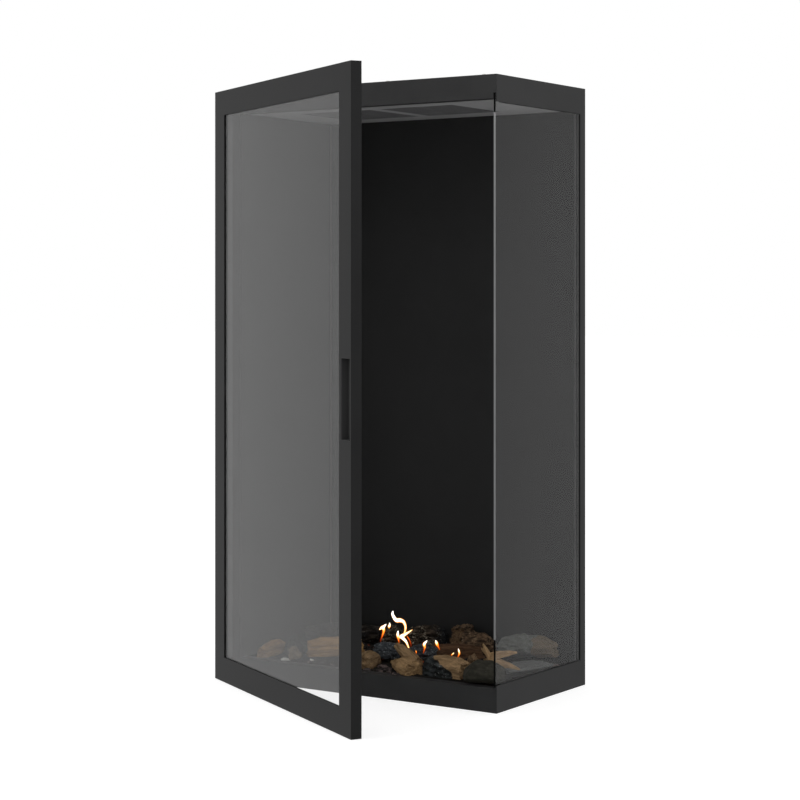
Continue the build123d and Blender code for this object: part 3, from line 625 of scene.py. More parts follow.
@dataclass
class Workshop:
    """What every sub-assembly needs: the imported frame, the materials and the way a piece is put in place."""

    frame: dict
    palette: dict[str, bpy.types.Material]
    slots: dict[str, str] = field(init=False)

    def __post_init__(self) -> None:
        """Read each node's material slot from the record."""
        self.slots = {row["node"]: row["material_slot"] for row in self.frame["record"]["subparts"]}

    def dress(self, node: str, look: str | None = None) -> None:
        """Give a CAD node, which keeps its own shape, its finish.

        Args:
            node: The CAD node.
            look: The material's name, where it isn't the slot's.
        """
        data = self.frame["nodes"][node].data
        data.materials.clear()
        data.materials.append(self.palette[look or self.slots[node]])
        log.info("%s keeps its solid", node)

    def place(
        self,
        name: str,
        mesh: bmesh.types.BMesh,
        body: Body,
        slot: str,
        nodes: Iterable[str] = (),
        look: str | None = None,
    ) -> bpy.types.Object:
        """Turn a bmesh into a finished piece.

        Args:
            name: The piece's name.
            mesh: The bmesh, which is freed.
            body: The body that the piece rides on.
            slot: The record's material slot, or an empty text for none.
            nodes: The CAD nodes that the piece stands for.
            look: The material's name, where it isn't the slot's.

        Returns:
            The piece's object.
        """
        data = bpy.data.meshes.new(name)
        mesh.to_mesh(data)
        mesh.free()
        custom = data.attributes.get("custom_normal")
        if custom is not None:
            data.attributes.remove(custom)
        data.materials.clear()
        data.materials.append(self.palette[look or slot])
        piece = bpy.data.objects.new(name, data)
        bpy.context.scene.collection.objects.link(piece)
        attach(piece, body.value)
        if nodes:
            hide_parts(*nodes)
        log.info("%s has %d faces", name, len(data.polygons))
        return piece

    def merged(self, node: str) -> bmesh.types.BMesh:
        """Return a copy of a CAD node with its loose triangles joined into plain faces."""
        joined, level = 0.002 * MM, math.radians(0.5)
        mesh = bmesh.new()
        mesh.from_mesh(self.frame["nodes"][node].data)
        bmesh.ops.remove_doubles(mesh, verts=mesh.verts[:], dist=joined)
        bmesh.ops.dissolve_limit(mesh, angle_limit=level, verts=mesh.verts[:], edges=mesh.edges[:])
        return mesh

    def rounded(
        self,
        node: str,
        body: Body,
        width: float = ROUNDING,
        segments: int = 2,
        cuts: Iterable[tuple[Vector, Vector]] = (),
        seam: Callable[[Vector, Vector], bool] = never,
        pressed: Callable[[bmesh.types.BMFace], bool] = never,
    ) -> bpy.types.Object:
        """Stand for a sheet or bar with a copy of it whose edges are rounded.

        Args:
            node: The CAD node.
            body: The body that it rides on.
            width: How wide the rounding is, in millimetres.
            segments: How many faces the rounding has.
            cuts: Planes, each a point and a normal, at which long edges are parted first.
            seam: Says of an edge's two ends whether it lies on a welded seam and stays sharp.
            pressed: Says of a face whether it is a field that is pressed in a little to stiffen the sheet.

        Returns:
            The piece's object.
        """
        slope, depth, limit = 5 * MM, 1.2 * MM, math.radians(40)
        mesh = self.merged(node)
        for point, normal in cuts:
            geometry = mesh.verts[:] + mesh.edges[:] + mesh.faces[:]
            bmesh.ops.bisect_plane(mesh, geom=geometry, dist=1e-6, plane_co=point, plane_no=normal)
        fields = [face for face in mesh.faces if pressed(face)]
        if fields:
            bmesh.ops.inset_region(mesh, faces=fields, thickness=slope, depth=-depth)
        sharp = [
            edge
            for edge in mesh.edges
            if edge.is_manifold
            and edge.calc_face_angle() > limit
            and not seam(edge.verts[0].co, edge.verts[1].co)
        ]
        for face in bevel(mesh, sharp, width, segments):
            face.smooth = True
        return self.place(f"{node}_rounded", mesh, body, self.slots[node], [node])


@dataclass(frozen=True)
class Lamp:
    """One soft square lamp: where it hangs, what it faces, the length of its sides and its power in watts."""

    name: str
    place: tuple[float, float, float]
    target: tuple[float, float, float]
    size: float
    power: float

    def hang(self) -> None:
        """Add the lamp to the scene, lit but not seen in mirrors or through glass."""
        data = bpy.data.lights.new(self.name, "AREA")
        data.size = self.size
        data.energy = self.power
        lamp = bpy.data.objects.new(self.name, data)
        lamp.location = self.place
        aim = Vector(self.target) - Vector(self.place)
        lamp.rotation_euler = aim.to_track_quat("-Z", "Y").to_euler()
        lamp.visible_glossy = False
        lamp.visible_transmission = False
        bpy.context.scene.collection.objects.link(lamp)


@dataclass
class Studio:
    """Pale floor, soft lamps, white surroundings and the camera of the photo."""

    floor_size: float = 60.0
    floor_tone: float = 0.45
    floor_lift: float = 0.72
    surroundings: float = 0.72
    camera_place: tuple[float, float, float] = (2.3082, -3.4591, 0.7874)
    lens: float = 92.07
    sensor: float = 36.0
    photo_size: float = 800.0
    horizon: float = 293.72
    lamps: tuple[Lamp, ...] = (
        Lamp("key_lamp", (-2.6, -3.4, 3.0), (0.0, 0.0, 0.5), 2.6, 70.0),
        Lamp("side_lamp", (3.6, 1.6, 2.4), (0.2, 0.0, 0.6), 2.2, 17.0),
        Lamp("corner_lamp", (1.25, -1.0, 1.75), (0.32, -0.17, 1.1), 0.5, 5.5),
    )

    def build(self) -> None:
        """Set the camera, world, floor and lamps."""
        self.set_camera()
        self.set_world()
        self.lay_floor()
        for lamp in self.lamps:
            lamp.hang()

    def set_camera(self) -> None:
        """Create the camera at the photo's place, level, with its frame shifted down."""
        data = bpy.data.cameras.new("photo_camera")
        data.sensor_width = self.sensor
        data.lens = self.lens
        data.shift_y = -(self.photo_size / 2 - self.horizon) / self.photo_size
        camera = bpy.data.objects.new("photo_camera", data)
        camera.location = self.camera_place
        camera.rotation_euler = (math.radians(90), 0.0, math.radians(CAMERA_TURN))
        bpy.context.scene.collection.objects.link(camera)
        bpy.context.scene.camera = camera
        bpy.context.scene.view_settings.view_transform = "Standard"

    def set_world(self) -> None:
        """Make the surroundings white where they are seen, mirrored or seen through glass."""
        world = bpy.data.worlds.new("surroundings")
        world.use_nodes = True
        bpy.context.scene.world = world
        nodes = Nodes(world.node_tree)
        camera, mirrored, through = nodes.ways()
        seen = camera.larger(mirrored.larger(through))
        values = {0: seen, "To Min": self.surroundings, "To Max": 1.0}
        background = nodes.tree.nodes["Background"].inputs
        nodes.fill(background["Color"], WHITE)
        nodes.fill(background["Strength"], nodes.node("ShaderNodeMapRange", {}, values))

    def lay_floor(self) -> None:
        """Lay a pale floor that looks white and keeps the shadow."""
        mesh = bmesh.new()
        bmesh.ops.create_grid(mesh, x_segments=1, y_segments=1, size=self.floor_size / 2)
        data = bpy.data.meshes.new("floor")
        mesh.to_mesh(data)
        mesh.free()
        floor = bpy.data.objects.new("floor", data)
        bpy.context.scene.collection.objects.link(floor)
        look = Look("floor")
        camera, mirrored, through = look.ways()
        look.set(base_color=(self.floor_tone,) * 3, roughness=1.0, specular_ior_level=0.0)
        lift = look.node("ShaderNodeEmission", {}, {"Color": WHITE, "Strength": self.floor_lift * camera})
        both = look.node("ShaderNodeAddShader", {}, {0: lift, 1: Signal(look, look.shader.outputs[0])})
        white = look.node("ShaderNodeEmission", {}, {"Color": WHITE, "Strength": 1.0})
        floor_look = look.node("ShaderNodeMixShader", {}, {0: mirrored.larger(through), 1: both, 2: white})
        look.tree.links.new(floor_look.socket, look.output.inputs["Surface"])
        data.materials.append(look.material)


@dataclass(frozen=True)
class Field:
    """The two fields of one sheet, one above the other, that are pressed in to stiffen it, in millimetres."""

    node: str
    outward: tuple[float, float, float]
    sideways: tuple[float, float, float]
    width: tuple[float, float]
    rises: tuple[float, ...] = (130.0, 590.0, 650.0, 1110.0)

    def cuts(self) -> list[tuple[Vector, Vector]]:
        """Return the planes round the fields, each a point and a normal."""
        level = [(UPRIGHT * rise * MM, UPRIGHT) for rise in self.rises]
        across = Vector(self.sideways)
        return level + [(across * limit * MM, across) for limit in self.width]

    def holds(self, face: bmesh.types.BMFace) -> bool:
        """Say whether a face is one of the fields.

        Args:
            face: A face of the sheet after the cuts.

        Returns:
            Whether it is.
        """
        middle = face.calc_center_median() / MM
        beside = self.width[0] < middle.dot(Vector(self.sideways)) < self.width[1]
        low, split_low, split_high, high = self.rises
        within = low < middle.z < split_low or split_high < middle.z < high
        return beside and within and face.normal.dot(Vector(self.outward)) > 0.9


@dataclass
class Casing:
    """The steel box: frame strips that show, sheets behind, roof, brackets and screws."""

    shop: Workshop
    side_face: float = 323.0
    post_ends: tuple[float, ...] = (46.0, 52.0, 1148.0, 1154.0)
    post_width: float = 60.0
    strips: tuple[str, ...] = (
        "front_header", "front_sill", "side_header", "side_sill", "hinge_post", "rear_post",
    )
    pressed: tuple[Field, ...] = (
        Field("left_casing", (-1.0, 0.0, 0.0), (0.0, 1.0, 0.0), (-115.0, 130.0)),
        Field("rear_casing", (0.0, 1.0, 0.0), (1.0, 0.0, 0.0), (-270.0, 270.0)),
    )
    sheets: tuple[str, ...] = ("roof_casing", "base_pan", "wall_brackets")
    plain: tuple[str, ...] = ("left_insulation", "catch_magnets", "lead_gland", "gas_inlet_fitting")

    def build(self) -> None:
        """Dress every piece of the casing."""
        for node in self.strips:
            self.shop.rounded(node, Body.CASING, seam=self.on_seam)
        for sheet in self.pressed:
            self.shop.rounded(sheet.node, Body.CASING, cuts=sheet.cuts(), pressed=sheet.holds)
        for node in self.sheets:
            self.shop.rounded(node, Body.CASING)
        for node in self.plain:
            self.shop.dress(node)
        self.shop.rounded("roof_screws", Body.CASING)

    def on_seam(self, first: Vector, second: Vector) -> bool:
        """Say whether an edge lies where two strips are welded and ground flush.

        Args:
            first: One end of the edge.
            second: Its other end.

        Returns:
            Whether it does.
        """
        first, second = first / MM, second / MM
        corner = all(abs(end.x - self.side_face) < NEAR for end in (first, second))
        level = abs(first.z - second.z) < NEAR
        at_post_end = any(abs(first.z - height) < NEAR for height in self.post_ends)
        return corner or (level and at_post_end and abs(first.x - second.x) < self.post_width)


@dataclass
class Chamber:
    """Linings, ceiling with its grilles, flue hood and collars."""

    shop: Workshop
    fold: float = 0.8
    steel: tuple[str, ...] = (
        "ceiling_plate", "ceiling_grilles", "flue_hood", "flue_collar_inner", "flue_collar_outer",
    )

    def build(self) -> None:
        """Dress every piece of the chamber."""
        for node in ("left_lining", "back_lining"):
            self.shop.rounded(node, Body.CASING, self.fold)
        for node in self.steel:
            self.shop.dress(node)


@dataclass
class SidePane:
    """The fixed pane on the right, its front edge, and the tape and strips that hold it. The front edge is
    painted: a grey strip of painted light along its middle and dark strips of painted shade at its ends.
    """

    shop: Workshop
    across: tuple[float, float] = (318.5, 322.5)
    along: tuple[float, float] = (-172.5, 147.5)
    rise: tuple[float, float] = (35.5, 1164.5)
    lit_span: tuple[float, float] = (138.0, 1128.0)
    sill_top: float = 48.0
    skin: float = 0.3
    chamfer: float = 0.6

    def build(self) -> None:
        """Build the pane and its front edge, and dress what holds it."""
        front = self.along[0] + self.skin
        pane = box_mesh(self.across, (front, self.along[1]), self.rise)
        rear = [edge for edge in pane.edges if all(end.co.y > 0 for end in edge.verts)]
        bevel(pane, rear, self.chamfer, 1)
        self.shop.place("side_pane", pane, Body.CASING, "clear_glass", ["side_glass"])
        face = (self.along[0], front)
        # Painted light: a grey strip with a ground-glass look over the middle of the front edge stands for the
        # light seen in the edge
        ground = box_mesh(self.across, face, self.lit_span)
        self.shop.place("side_pane_lit_ground_edge", ground, Body.CASING, "clear_glass", look="lit_ground_glass")
        # Painted shade: dark strips over the rest of the front edge, in the casing's black where it sits in
        # the sill and near black above and below the lit strip
        lengths = {
            "foot": ((self.rise[0], self.sill_top), "casing_black"),
            "low": ((self.sill_top, self.lit_span[0]), "painted_edge_shade"),
            "high": ((self.lit_span[1], self.rise[1]), "painted_edge_shade"),
        }
        for name, (span, look) in lengths.items():
            dark_strip = box_mesh(self.across, face, span)
            self.shop.place(f"side_pane_dark_edge_{name}", dark_strip, Body.CASING, "glazing_seal", look=look)
        # The side pane's tape takes the lighter tape finish, a painted highlight along the pane's rear edge
        self.shop.dress("side_glass_seal", "edge_tape_lit")
        self.shop.dress("side_glass_retainers")


def box_mesh(x: Sequence[float], y: Sequence[float], z: Sequence[float]) -> bmesh.types.BMesh:
    """Return a box between limits in millimetres.

    Args:
        x: The two limits across.
        y: The two limits in depth.
        z: The two limits in height.

    Returns:
        The box.
    """
    mesh = bmesh.new()
    size = Matrix.Diagonal((x[1] - x[0], y[1] - y[0], z[1] - z[0], 1000.0)) * MM
    middle = Vector((x[0] + x[1], y[0] + y[1], z[0] + z[1])) * 0.5 * MM
    bmesh.ops.create_cube(mesh, size=1.0, matrix=Matrix.Translation(middle) @ size)
    return mesh


@dataclass
class Door:
    """The hinged front door: frame, pane, beads, seal, pull and knuckles."""

    shop: Workshop
    open_angle: float = 29.5
    hinge: tuple[float, float] = (-325.0, -172.5)
    tube: tuple[float, float] = (42.0, 608.0)
    sight: tuple[float, float] = (50.0, 600.0)
    sight_rise: tuple[float, float] = (51.0, 1149.0)
    stiles: tuple[str, ...] = ("door_hinge_stile", "door_lock_stile")
    rails: tuple[str, ...] = ("door_top_rail", "door_bottom_rail")
    plain: tuple[str, ...] = (
        "door_glass_seal", "door_glass_retainers", "door_seal",
        "door_knuckles", "hinge_brackets", "hinge_washers",
    )
    pull_rounding: float = 0.4

    def build(self) -> None:
        """Dress every piece of the door and its hinges."""
        level_cuts = [(UPRIGHT * height * MM, UPRIGHT) for height in self.sight_rise]
        end_cuts = [(self.hinge_point() + self.axis() * reach * MM, self.axis()) for reach in self.sight]
        for node in self.stiles:
            self.shop.rounded(node, Body.DOOR, cuts=level_cuts, seam=self.on_seam)
        for node in self.rails:
            self.shop.rounded(node, Body.DOOR, cuts=end_cuts, seam=self.on_seam)
        # The pull's coat is painted lighter, painted light against the shade in its recess
        self.shop.rounded("door_pull", Body.DOOR, self.pull_rounding)
        self.shop.rounded("door_glass", Body.DOOR, segments=1)
        for node in self.plain:
            self.shop.dress(node)

    def axis(self) -> Vector:
        """Return the direction that runs along the door."""
        turn = math.radians(self.open_angle)
        return Vector((math.cos(turn), -math.sin(turn), 0.0))

    def hinge_point(self) -> Vector:
        """Return the foot of the hinge's axis."""
        return Vector((self.hinge[0], self.hinge[1], 0.0)) * MM

    def on_seam(self, first: Vector, second: Vector) -> bool:
        """Say whether an edge lies where rail and stile are welded and ground flush.

        Args:
            first: One end of the edge.
            second: Its other end.

        Returns:
            Whether it does.
        """
        reaches = [(end - self.hinge_point()).dot(self.axis()) / MM for end in (first, second)]
        heights = [end.z / MM for end in (first, second)]
        low, high = self.sight_rise
        start, end = self.sight
        beside_rail = max(heights) < low + NEAR or min(heights) > high - NEAR
        for limit in (*self.tube, *self.sight):
            if beside_rail and all(abs(reach - limit) < NEAR for reach in reaches):
                return True
        at_corner = all(not start + NEAR < reach < end - NEAR for reach in reaches)
        return at_corner and any(
            all(abs(height - limit) < NEAR for height in heights) for limit in self.sight_rise
        )


@dataclass
class Burner:
    """Deck, tray, ported plate, gas line and the pilot group."""

    shop: Workshop
    nodes: tuple[str, ...] = (
        "burner_deck", "burner_tray", "burner_plate", "gas_manifold",
        "pilot_burner", "spark_electrode", "flame_sensor",
    )

    def build(self) -> None:
        """Dress every piece of the burner."""
        for node in self.nodes:
            self.shop.dress(node)


PROFILES = {
    Form.SPLIT: ((-0.5, 0.0), (0.46, 0.0), (0.5, 0.42), (0.3, 0.86), (-0.08, 1.0), (-0.42, 0.66)),
    Form.BLOCK: ((-0.42, 0.0), (0.42, 0.0), (0.5, 0.5), (0.38, 0.94), (-0.3, 1.0), (-0.5, 0.55)),
}
STATION_SHARES = (0.0, 0.3, 0.7, 1.0)
THIN_TIP = (1.0, 0.9, 0.65, 0.3)
NO_BARK = (0.0, 0.0)
# The heights of the deck and of the embers' top, in millimetres
FLOOR = 46.0
EMBERS = 50.0
MASKS = ("bark", "char", "hollow")


@dataclass
class LogPiece:
    """One ceramic log, in millimetres and degrees: its place and size, and where its bark and char are."""

    x: float
    y: float
    base: float
    heading: float
    length: float
    width: float
    height: float
    rise: float = 0.0
    form: Form = Form.ROUND
    girths: tuple[float, float, float, float] = (0.8, 1.0, 1.0, 0.8)
    bark: tuple[float, float] = (0.0, 360.0)
    char: float = 0.0
    burnt_ends: tuple[float, float] = (0.0, 0.0)
    torn: tuple[float, float, float] | None = None
    rough: float = 1.0
    ragged: float = 3.0

    sides: int = 72
    rings: int = 56
    caps: int = 6

    @property
    def heart(self) -> float:
        """Return how high the section's middle is, as a share of its height."""
        return 0.5 if self.form is Form.ROUND else 0.46

    @property
    def seed(self) -> Vector:
        """Return a shift that makes this log's noise its own."""
        return Vector((self.x * 0.37, self.y * 0.53, self.length * 1.7))

    def build(self) -> bmesh.types.BMesh:
        """Return the log's mesh with its grain, bark and char masks, and a mask of painted shade in the bark's
        deep furrows.
        """
        mesh = bmesh.new()
        unit = {"radius1": 1.0, "radius2": 1.0, "depth": 1.0}
        bmesh.ops.create_cone(mesh, cap_ends=True, segments=self.sides, **unit)
        caps = [face for face in mesh.faces if len(face.verts) == self.sides]
        step = 0.9 / self.caps
        for _ in range(self.caps):
            bmesh.ops.inset_individual(mesh, faces=caps, thickness=step, use_even_offset=False)
        bmesh.ops.poke(mesh, faces=caps)
        lengthwise = [edge for edge in mesh.edges if abs(edge.verts[0].co.z - edge.verts[1].co.z) > 0.5]
        bmesh.ops.subdivide_edges(mesh, edges=lengthwise, cuts=self.rings, use_grid_fill=True)
        layers = {name: mesh.verts.layers.float.new(name) for name in MASKS}
        grain = mesh.verts.layers.float_vector.new("grain")
        for vertex in mesh.verts:
            self.shape(vertex, layers, grain)
        bmesh.ops.recalc_face_normals(mesh, faces=mesh.faces[:])
        shade(mesh, 50.0)
        return mesh

    def section(self, turn: float, radius: float) -> tuple[float, float]:
        """Return a place in the unit section.

        Args:
            turn: The share of a full turn round the section.
            radius: The share of the way from the middle to the outline.

        Returns:
            The place, in shares of the width and of the height.
        """
        if self.form is Form.ROUND:
            angle = math.tau * turn - math.pi / 2
            girth = 0.5 * radius * (0.93 + 0.07 * math.sin(3 * angle + self.length))
            return girth * math.cos(angle), 0.5 + girth * math.sin(angle)
        profile = PROFILES[self.form]
        index, part = divmod(turn * len(profile), 1.0)
        start = Vector(profile[int(index) % len(profile)])
        end = Vector(profile[(int(index) + 1) % len(profile)])
        middle = Vector((0.0, self.heart))
        spot = middle + (start.lerp(end, part) - middle) * radius
        return spot.x, spot.y

    def swell(self, share: float) -> float:
        """Return how full the section is at a share of the length."""
        for index in range(3):
            low, high = STATION_SHARES[index : index + 2]
            if share <= high:
                part = max(share - low, 0.0) / (high - low)
                return self.girths[index] * (1 - part) + self.girths[index + 1] * part
        return self.girths[-1]

    def shape(self, vertex: bmesh.types.BMVert, layers: dict, grain: object) -> None:
        """Move one vertex from the unit cylinder to the log's surface and write its masks.

        Args:
            vertex: The vertex.
            layers: The mask layers by name.
            grain: The layer for the place in the wood.
        """
        share = vertex.co.z + 0.5
        on_end = abs(abs(vertex.co.z) - 0.5) < 1e-4
        radius = min(math.hypot(vertex.co.x, vertex.co.y), 1.0)
        turn = (math.atan2(vertex.co.y, vertex.co.x) / math.tau) % 1.0 if radius > 1e-6 else 0.0
        turn = round(turn * self.sides) / self.sides % 1.0
        across, up = self.section(turn, radius)
        swell = self.swell(share)
        spot = Vector(((share - 0.5) * self.length, across * self.width * swell, up * self.height * swell))
        core = Vector((spot.x, 0.0, self.heart * self.height * swell))
        outward = (spot - core).normalized() if radius > 1e-6 else Vector((0.0, 0.0, 0.0))
        bark_share = self.bark_at(math.degrees(math.atan2(outward.z, outward.y)), spot, share)
        furrow = self.furrow(spot)
        spot += outward * self.relief(spot, bark_share, furrow) * min(radius * 1.1, 1.0)
        if on_end:
            spot.x += math.copysign(1.0, vertex.co.z) * self.break_depth(spot, radius)
        vertex[layers["bark"]] = 0.2 * bark_share if on_end and radius < 0.93 else bark_share
        vertex[layers["char"]] = self.char_at(spot, share)
        # Painted shade in the deepest bark furrows, which the relief already sinks
        vertex[layers["hollow"]] = bark_share * min(1.0, max(0.0, furrow * 1.5 - 0.5)) * (not on_end)
        vertex[grain] = (spot + self.seed) * MM
        vertex.co = self.to_frame(spot, share)

    def furrow(self, spot: Vector) -> float:
        """Return how deep the bark is furrowed at a place, from 0 to 1."""
        place = Vector((spot.x * 0.035, spot.y * 0.11, spot.z * 0.11)) + self.seed
        plates = noise.ridged_multi_fractal(place, 0.9, 2.1, 4, 1.0, 2.0)
        return min(1.0, max(0.0, 1.15 - plates * 0.75))

    def relief(self, spot: Vector, bark_share: float, furrow: float) -> float:
        """Return how far the surface stands out, or in, at a place, in millimetres.

        Args:
            spot: The place in the log.
            bark_share: How much bark there is.
            furrow: How deep the bark is furrowed.

        Returns:
            The distance outwards.
        """
        lumps = noise.fractal(Vector((spot.x * 0.02, spot.y * 0.06, spot.z * 0.06)) + self.seed, 0.8, 2.2, 4)
        fibres = noise.noise(Vector((spot.x * 0.02, spot.y * 0.5, spot.z * 0.5)) + self.seed)
        ledge = noise.noise(Vector((spot.x * 0.018, spot.y * 0.11, spot.z * 0.11)) - self.seed)
        ledge = math.floor(3.5 * ledge) / 3.5
        crumbs = noise.noise(spot * 0.35 + self.seed)
        knobs = noise.noise(spot * 0.13 - self.seed)
        wood = 0.8 * fibres + 3.0 * ledge
        rind = 1.3 * crumbs + 1.6 * knobs - 3.4 * furrow
        return self.rough * (1.9 * lumps + bark_share * rind + (1 - bark_share) * wood)

    def break_depth(self, spot: Vector, radius: float) -> float:
        """Return how far a torn end stands out at a place, in millimetres."""
        splinters = noise.fractal(Vector((0.0, spot.y * 0.16, spot.z * 0.16)) + self.seed, 0.8, 2.0, 4)
        tongue = noise.noise(Vector((0.0, spot.y * 0.05, spot.z * 0.05)) - self.seed)
        return self.ragged * (1.1 * splinters + 1.6 * tongue - 0.4)

    def char_at(self, spot: Vector, share: float) -> float:
        """Return how charred the surface is at a place, from 0 to 1."""
        patch = 0.5 + 0.5 * noise.fractal(spot * 0.04 + self.seed, 0.9, 2.0, 3)
        foot, head = self.burnt_ends
        burnt = max(foot * (1 - 2.4 * share), head * (1 - 2.4 * (1 - share)), 0.0)
        return min(1.0, max(self.char, 1.5 * burnt) * (0.6 + 0.9 * patch))

    def bark_at(self, angle: float, spot: Vector, share: float) -> float:
        """Return how much bark covers the section at an angle, with a ragged edge.

        Args:
            angle: The direction from the core, in degrees from the horizontal.
            spot: The place in the log.
            share: The share of the length.

        Returns:
            A share from 0 to 1.
        """
        if self.torn is not None:
            start, slope, limit = self.torn
            bare = max(share - start, share + slope * spot.z / self.height - limit)
            if bare + 0.06 * noise.noise(spot * 0.09 + self.seed) > 0.0:
                return 0.0
        low, high = self.bark
        if high - low >= 360 or high <= low:
            return float(high > low)
        ragged = 16 * noise.noise(spot * 0.07 + self.seed)
        turn = (angle + ragged - low) % 360
        inside = min(turn, (high - low) - turn)
        return min(1.0, max(0.0, 0.5 + inside / 6)) if turn <= high - low else 0.0

    def to_frame(self, spot: Vector, share: float) -> Vector:
        """Turn a place along, across and up the log into the frame of the solids."""
        heading = math.radians(self.heading)
        along = Vector((math.cos(heading), math.sin(heading), 0.0))
        across = Vector((-along.y, along.x, 0.0))
        bow = 0.06 * self.width * math.sin(math.pi * share + self.heading)
        foot = Vector((self.x, self.y, self.base + self.rise * share))
        return (foot + along * spot.x + across * (spot.y + bow) + Vector((0.0, 0.0, max(spot.z, 0.0)))) * MM


def shade(mesh: bmesh.types.BMesh, crease: float) -> None:
    """Shade a mesh smooth, apart from edges that turn by more than the crease's angle in degrees."""
    for face in mesh.faces:
        face.smooth = True
    for edge in mesh.edges:
        edge.smooth = edge.is_manifold and edge.calc_face_angle(0.0) < math.radians(crease)


def split(*values: float, **options: object) -> LogPiece:
    """Return a log split along the grain, with no bark unless it is asked for."""
    return LogPiece(*values, **{"form": Form.SPLIT, "bark": NO_BARK, **options})


def crumbly(*values: float, **options: object) -> LogPiece:
    """Return a squarish log with rough bark all round."""
    return LogPiece(*values, **{"form": Form.BLOCK, "rough": 1.5, "ragged": 5.0, **options})


def arm(*values: float, **options: object) -> LogPiece:
    """Return one thin arm of the forked log."""
    return split(*values, **{"rough": 0.45, "ragged": 2.0, "sides": 36, "rings": 30, **options})


# Each row is a node, a paint and a log. The logs with the same node and paint make one piece.
LOGS = (
    ("log_front_left", "log_tan_dim",
     split(-15, -98, FLOOR, 104, 84, 40, 31, girths=(0.9, 1.0, 0.8, 0.4))),
    ("log_split_tan", "log_tan",
     split(77, -115, FLOOR, 152, 106, 50, 29, 8, girths=(0.95, 1.05, 0.6, 0.16), rough=0.8)),
    ("log_split_tan", "log_tan_mid",
     split(64, -83, FLOOR + 4, 160, 72, 30, 21, 31, girths=(1.0, 1.0, 0.85, 0.5), rough=0.6)),
    ("logs_charcoal", "log_char", LogPiece(-10, -48, EMBERS, 38, 52, 44, 37, char=0.95, rough=1.3)),
    ("logs_charcoal", "log_char", LogPiece(60, -18, EMBERS, 32, 54, 36, 34, char=0.6, rough=1.3)),
    # Its bark has come off along the top and at its right end
    ("log_bark_front", "log_bark_blue",
     LogPiece(181, -122, FLOOR, -6, 94, 50, 40, 3, Form.BLOCK, (0.85, 1.0, 0.95, 0.72),
              torn=(0.80, 0.85, 1.06), ragged=5.0)),
    ("log_olive_corner", "log_olive",
     LogPiece(276, -140, FLOOR, 4, 72, 56, 47, girths=(0.6, 0.95, 1.0, 0.8), rough=0.5)),
    ("logs_left_end", "log_tan_far", split(-250, -112, FLOOR, 98, 80, 32, 27, 4)),
    ("logs_left_end", "log_tan_far", split(-128, -60, EMBERS, 45, 112, 42, 38)),
    ("logs_left_end", "log_green_far", LogPiece(-190, -108, FLOOR, 123, 98, 44, 40)),
    ("logs_cross_red", "log_red", split(93, 42, EMBERS, 34, 118, 36, 30)),
    ("logs_cross_red", "log_brown", split(196, -46, EMBERS, 118, 50, 28, 30)),
    ("log_side_charcoal", "log_ash",
     LogPiece(262, 22, FLOOR, 78, 120, 84, 14, girths=(0.85, 1.0, 1.0, 0.85), rough=0.8)),
    # It shows bare brown wood at its right end
    ("log_back_right", "log_bark_pale",
     LogPiece(221, 118, FLOOR, 7, 124, 44, 48, 10, girths=(0.85, 1.05, 0.95, 0.68),
              torn=(0.64, 0.0, 9.0), rough=1.1, ragged=4.0)),
    ("log_back_left", "log_bark_far", LogPiece(-196, 62, EMBERS, 34, 150, 42, 46, char=0.35)),
    ("logs_back_bark", "log_bark", LogPiece(-88, 94, FLOOR, 34, 50, 44, 50, rough=1.5)),
    ("logs_back_bark", "log_bark",
     LogPiece(-14, 104, FLOOR, 30, 84, 46, 53, burnt_ends=(0.0, 0.7), rough=1.5)),
    ("logs_back_brown", "log_brown", crumbly(78, 106, FLOOR, 100, 60, 40, 62, girths=(1.0, 1.0, 1.0, 0.9))),
    ("logs_back_brown", "log_brown", crumbly(128, 82, FLOOR, 30, 70, 40, 54, girths=(1.0, 1.0, 0.95, 0.7))),
    ("log_forked", "log_tan_bright",
     arm(248, -18, FLOOR + 13, -10, 80, 18, 16, -5, girths=(0.8, 1.0, 0.75, 0.25))),
    ("log_forked", "log_tan_bright",
     arm(240, -9, FLOOR + 16, 8, 62, 18, 17, 22, girths=(1.0, 0.95, 0.65, 0.25))),
    ("log_forked", "log_tan_bright", arm(206, -11, FLOOR + 16, 158, 30, 15, 14, 30, girths=THIN_TIP)),
    ("log_forked", "log_tan_bright", arm(205, -9, FLOOR + 16, 162, 34, 12, 11, 22, girths=THIN_TIP)),
    ("log_forked", "log_tan_bright", arm(208, -12, FLOOR + 11, 165, 26, 13, 12, 6, girths=THIN_TIP)),
)


@dataclass
class LogFire:
    """The ceramic logs as they lie on deck and embers."""

    shop: Workshop

    def build(self) -> None:
        """Build one piece for each paint of a node. The pieces of a node stand for it together."""
        groups: dict[tuple[str, str], list[LogPiece]] = {}
        for node, paint, piece in LOGS:
            groups.setdefault((node, paint), []).append(piece)
        pieces = Counter()
        for (node, paint), logs in groups.items():
            mesh = bmesh.new()
            for piece in logs:
                part = piece.build()
                data = bpy.data.meshes.new("log")
                part.to_mesh(data)
                part.free()
                mesh.from_mesh(data)
                bpy.data.meshes.remove(data)
            pieces[node] += 1
            name = f"{node}_carved" if pieces[node] == 1 else f"{node}_carved_{pieces[node]}"
            self.shop.place(name, mesh, Body.CASING, self.shop.slots[node], [node], paint)


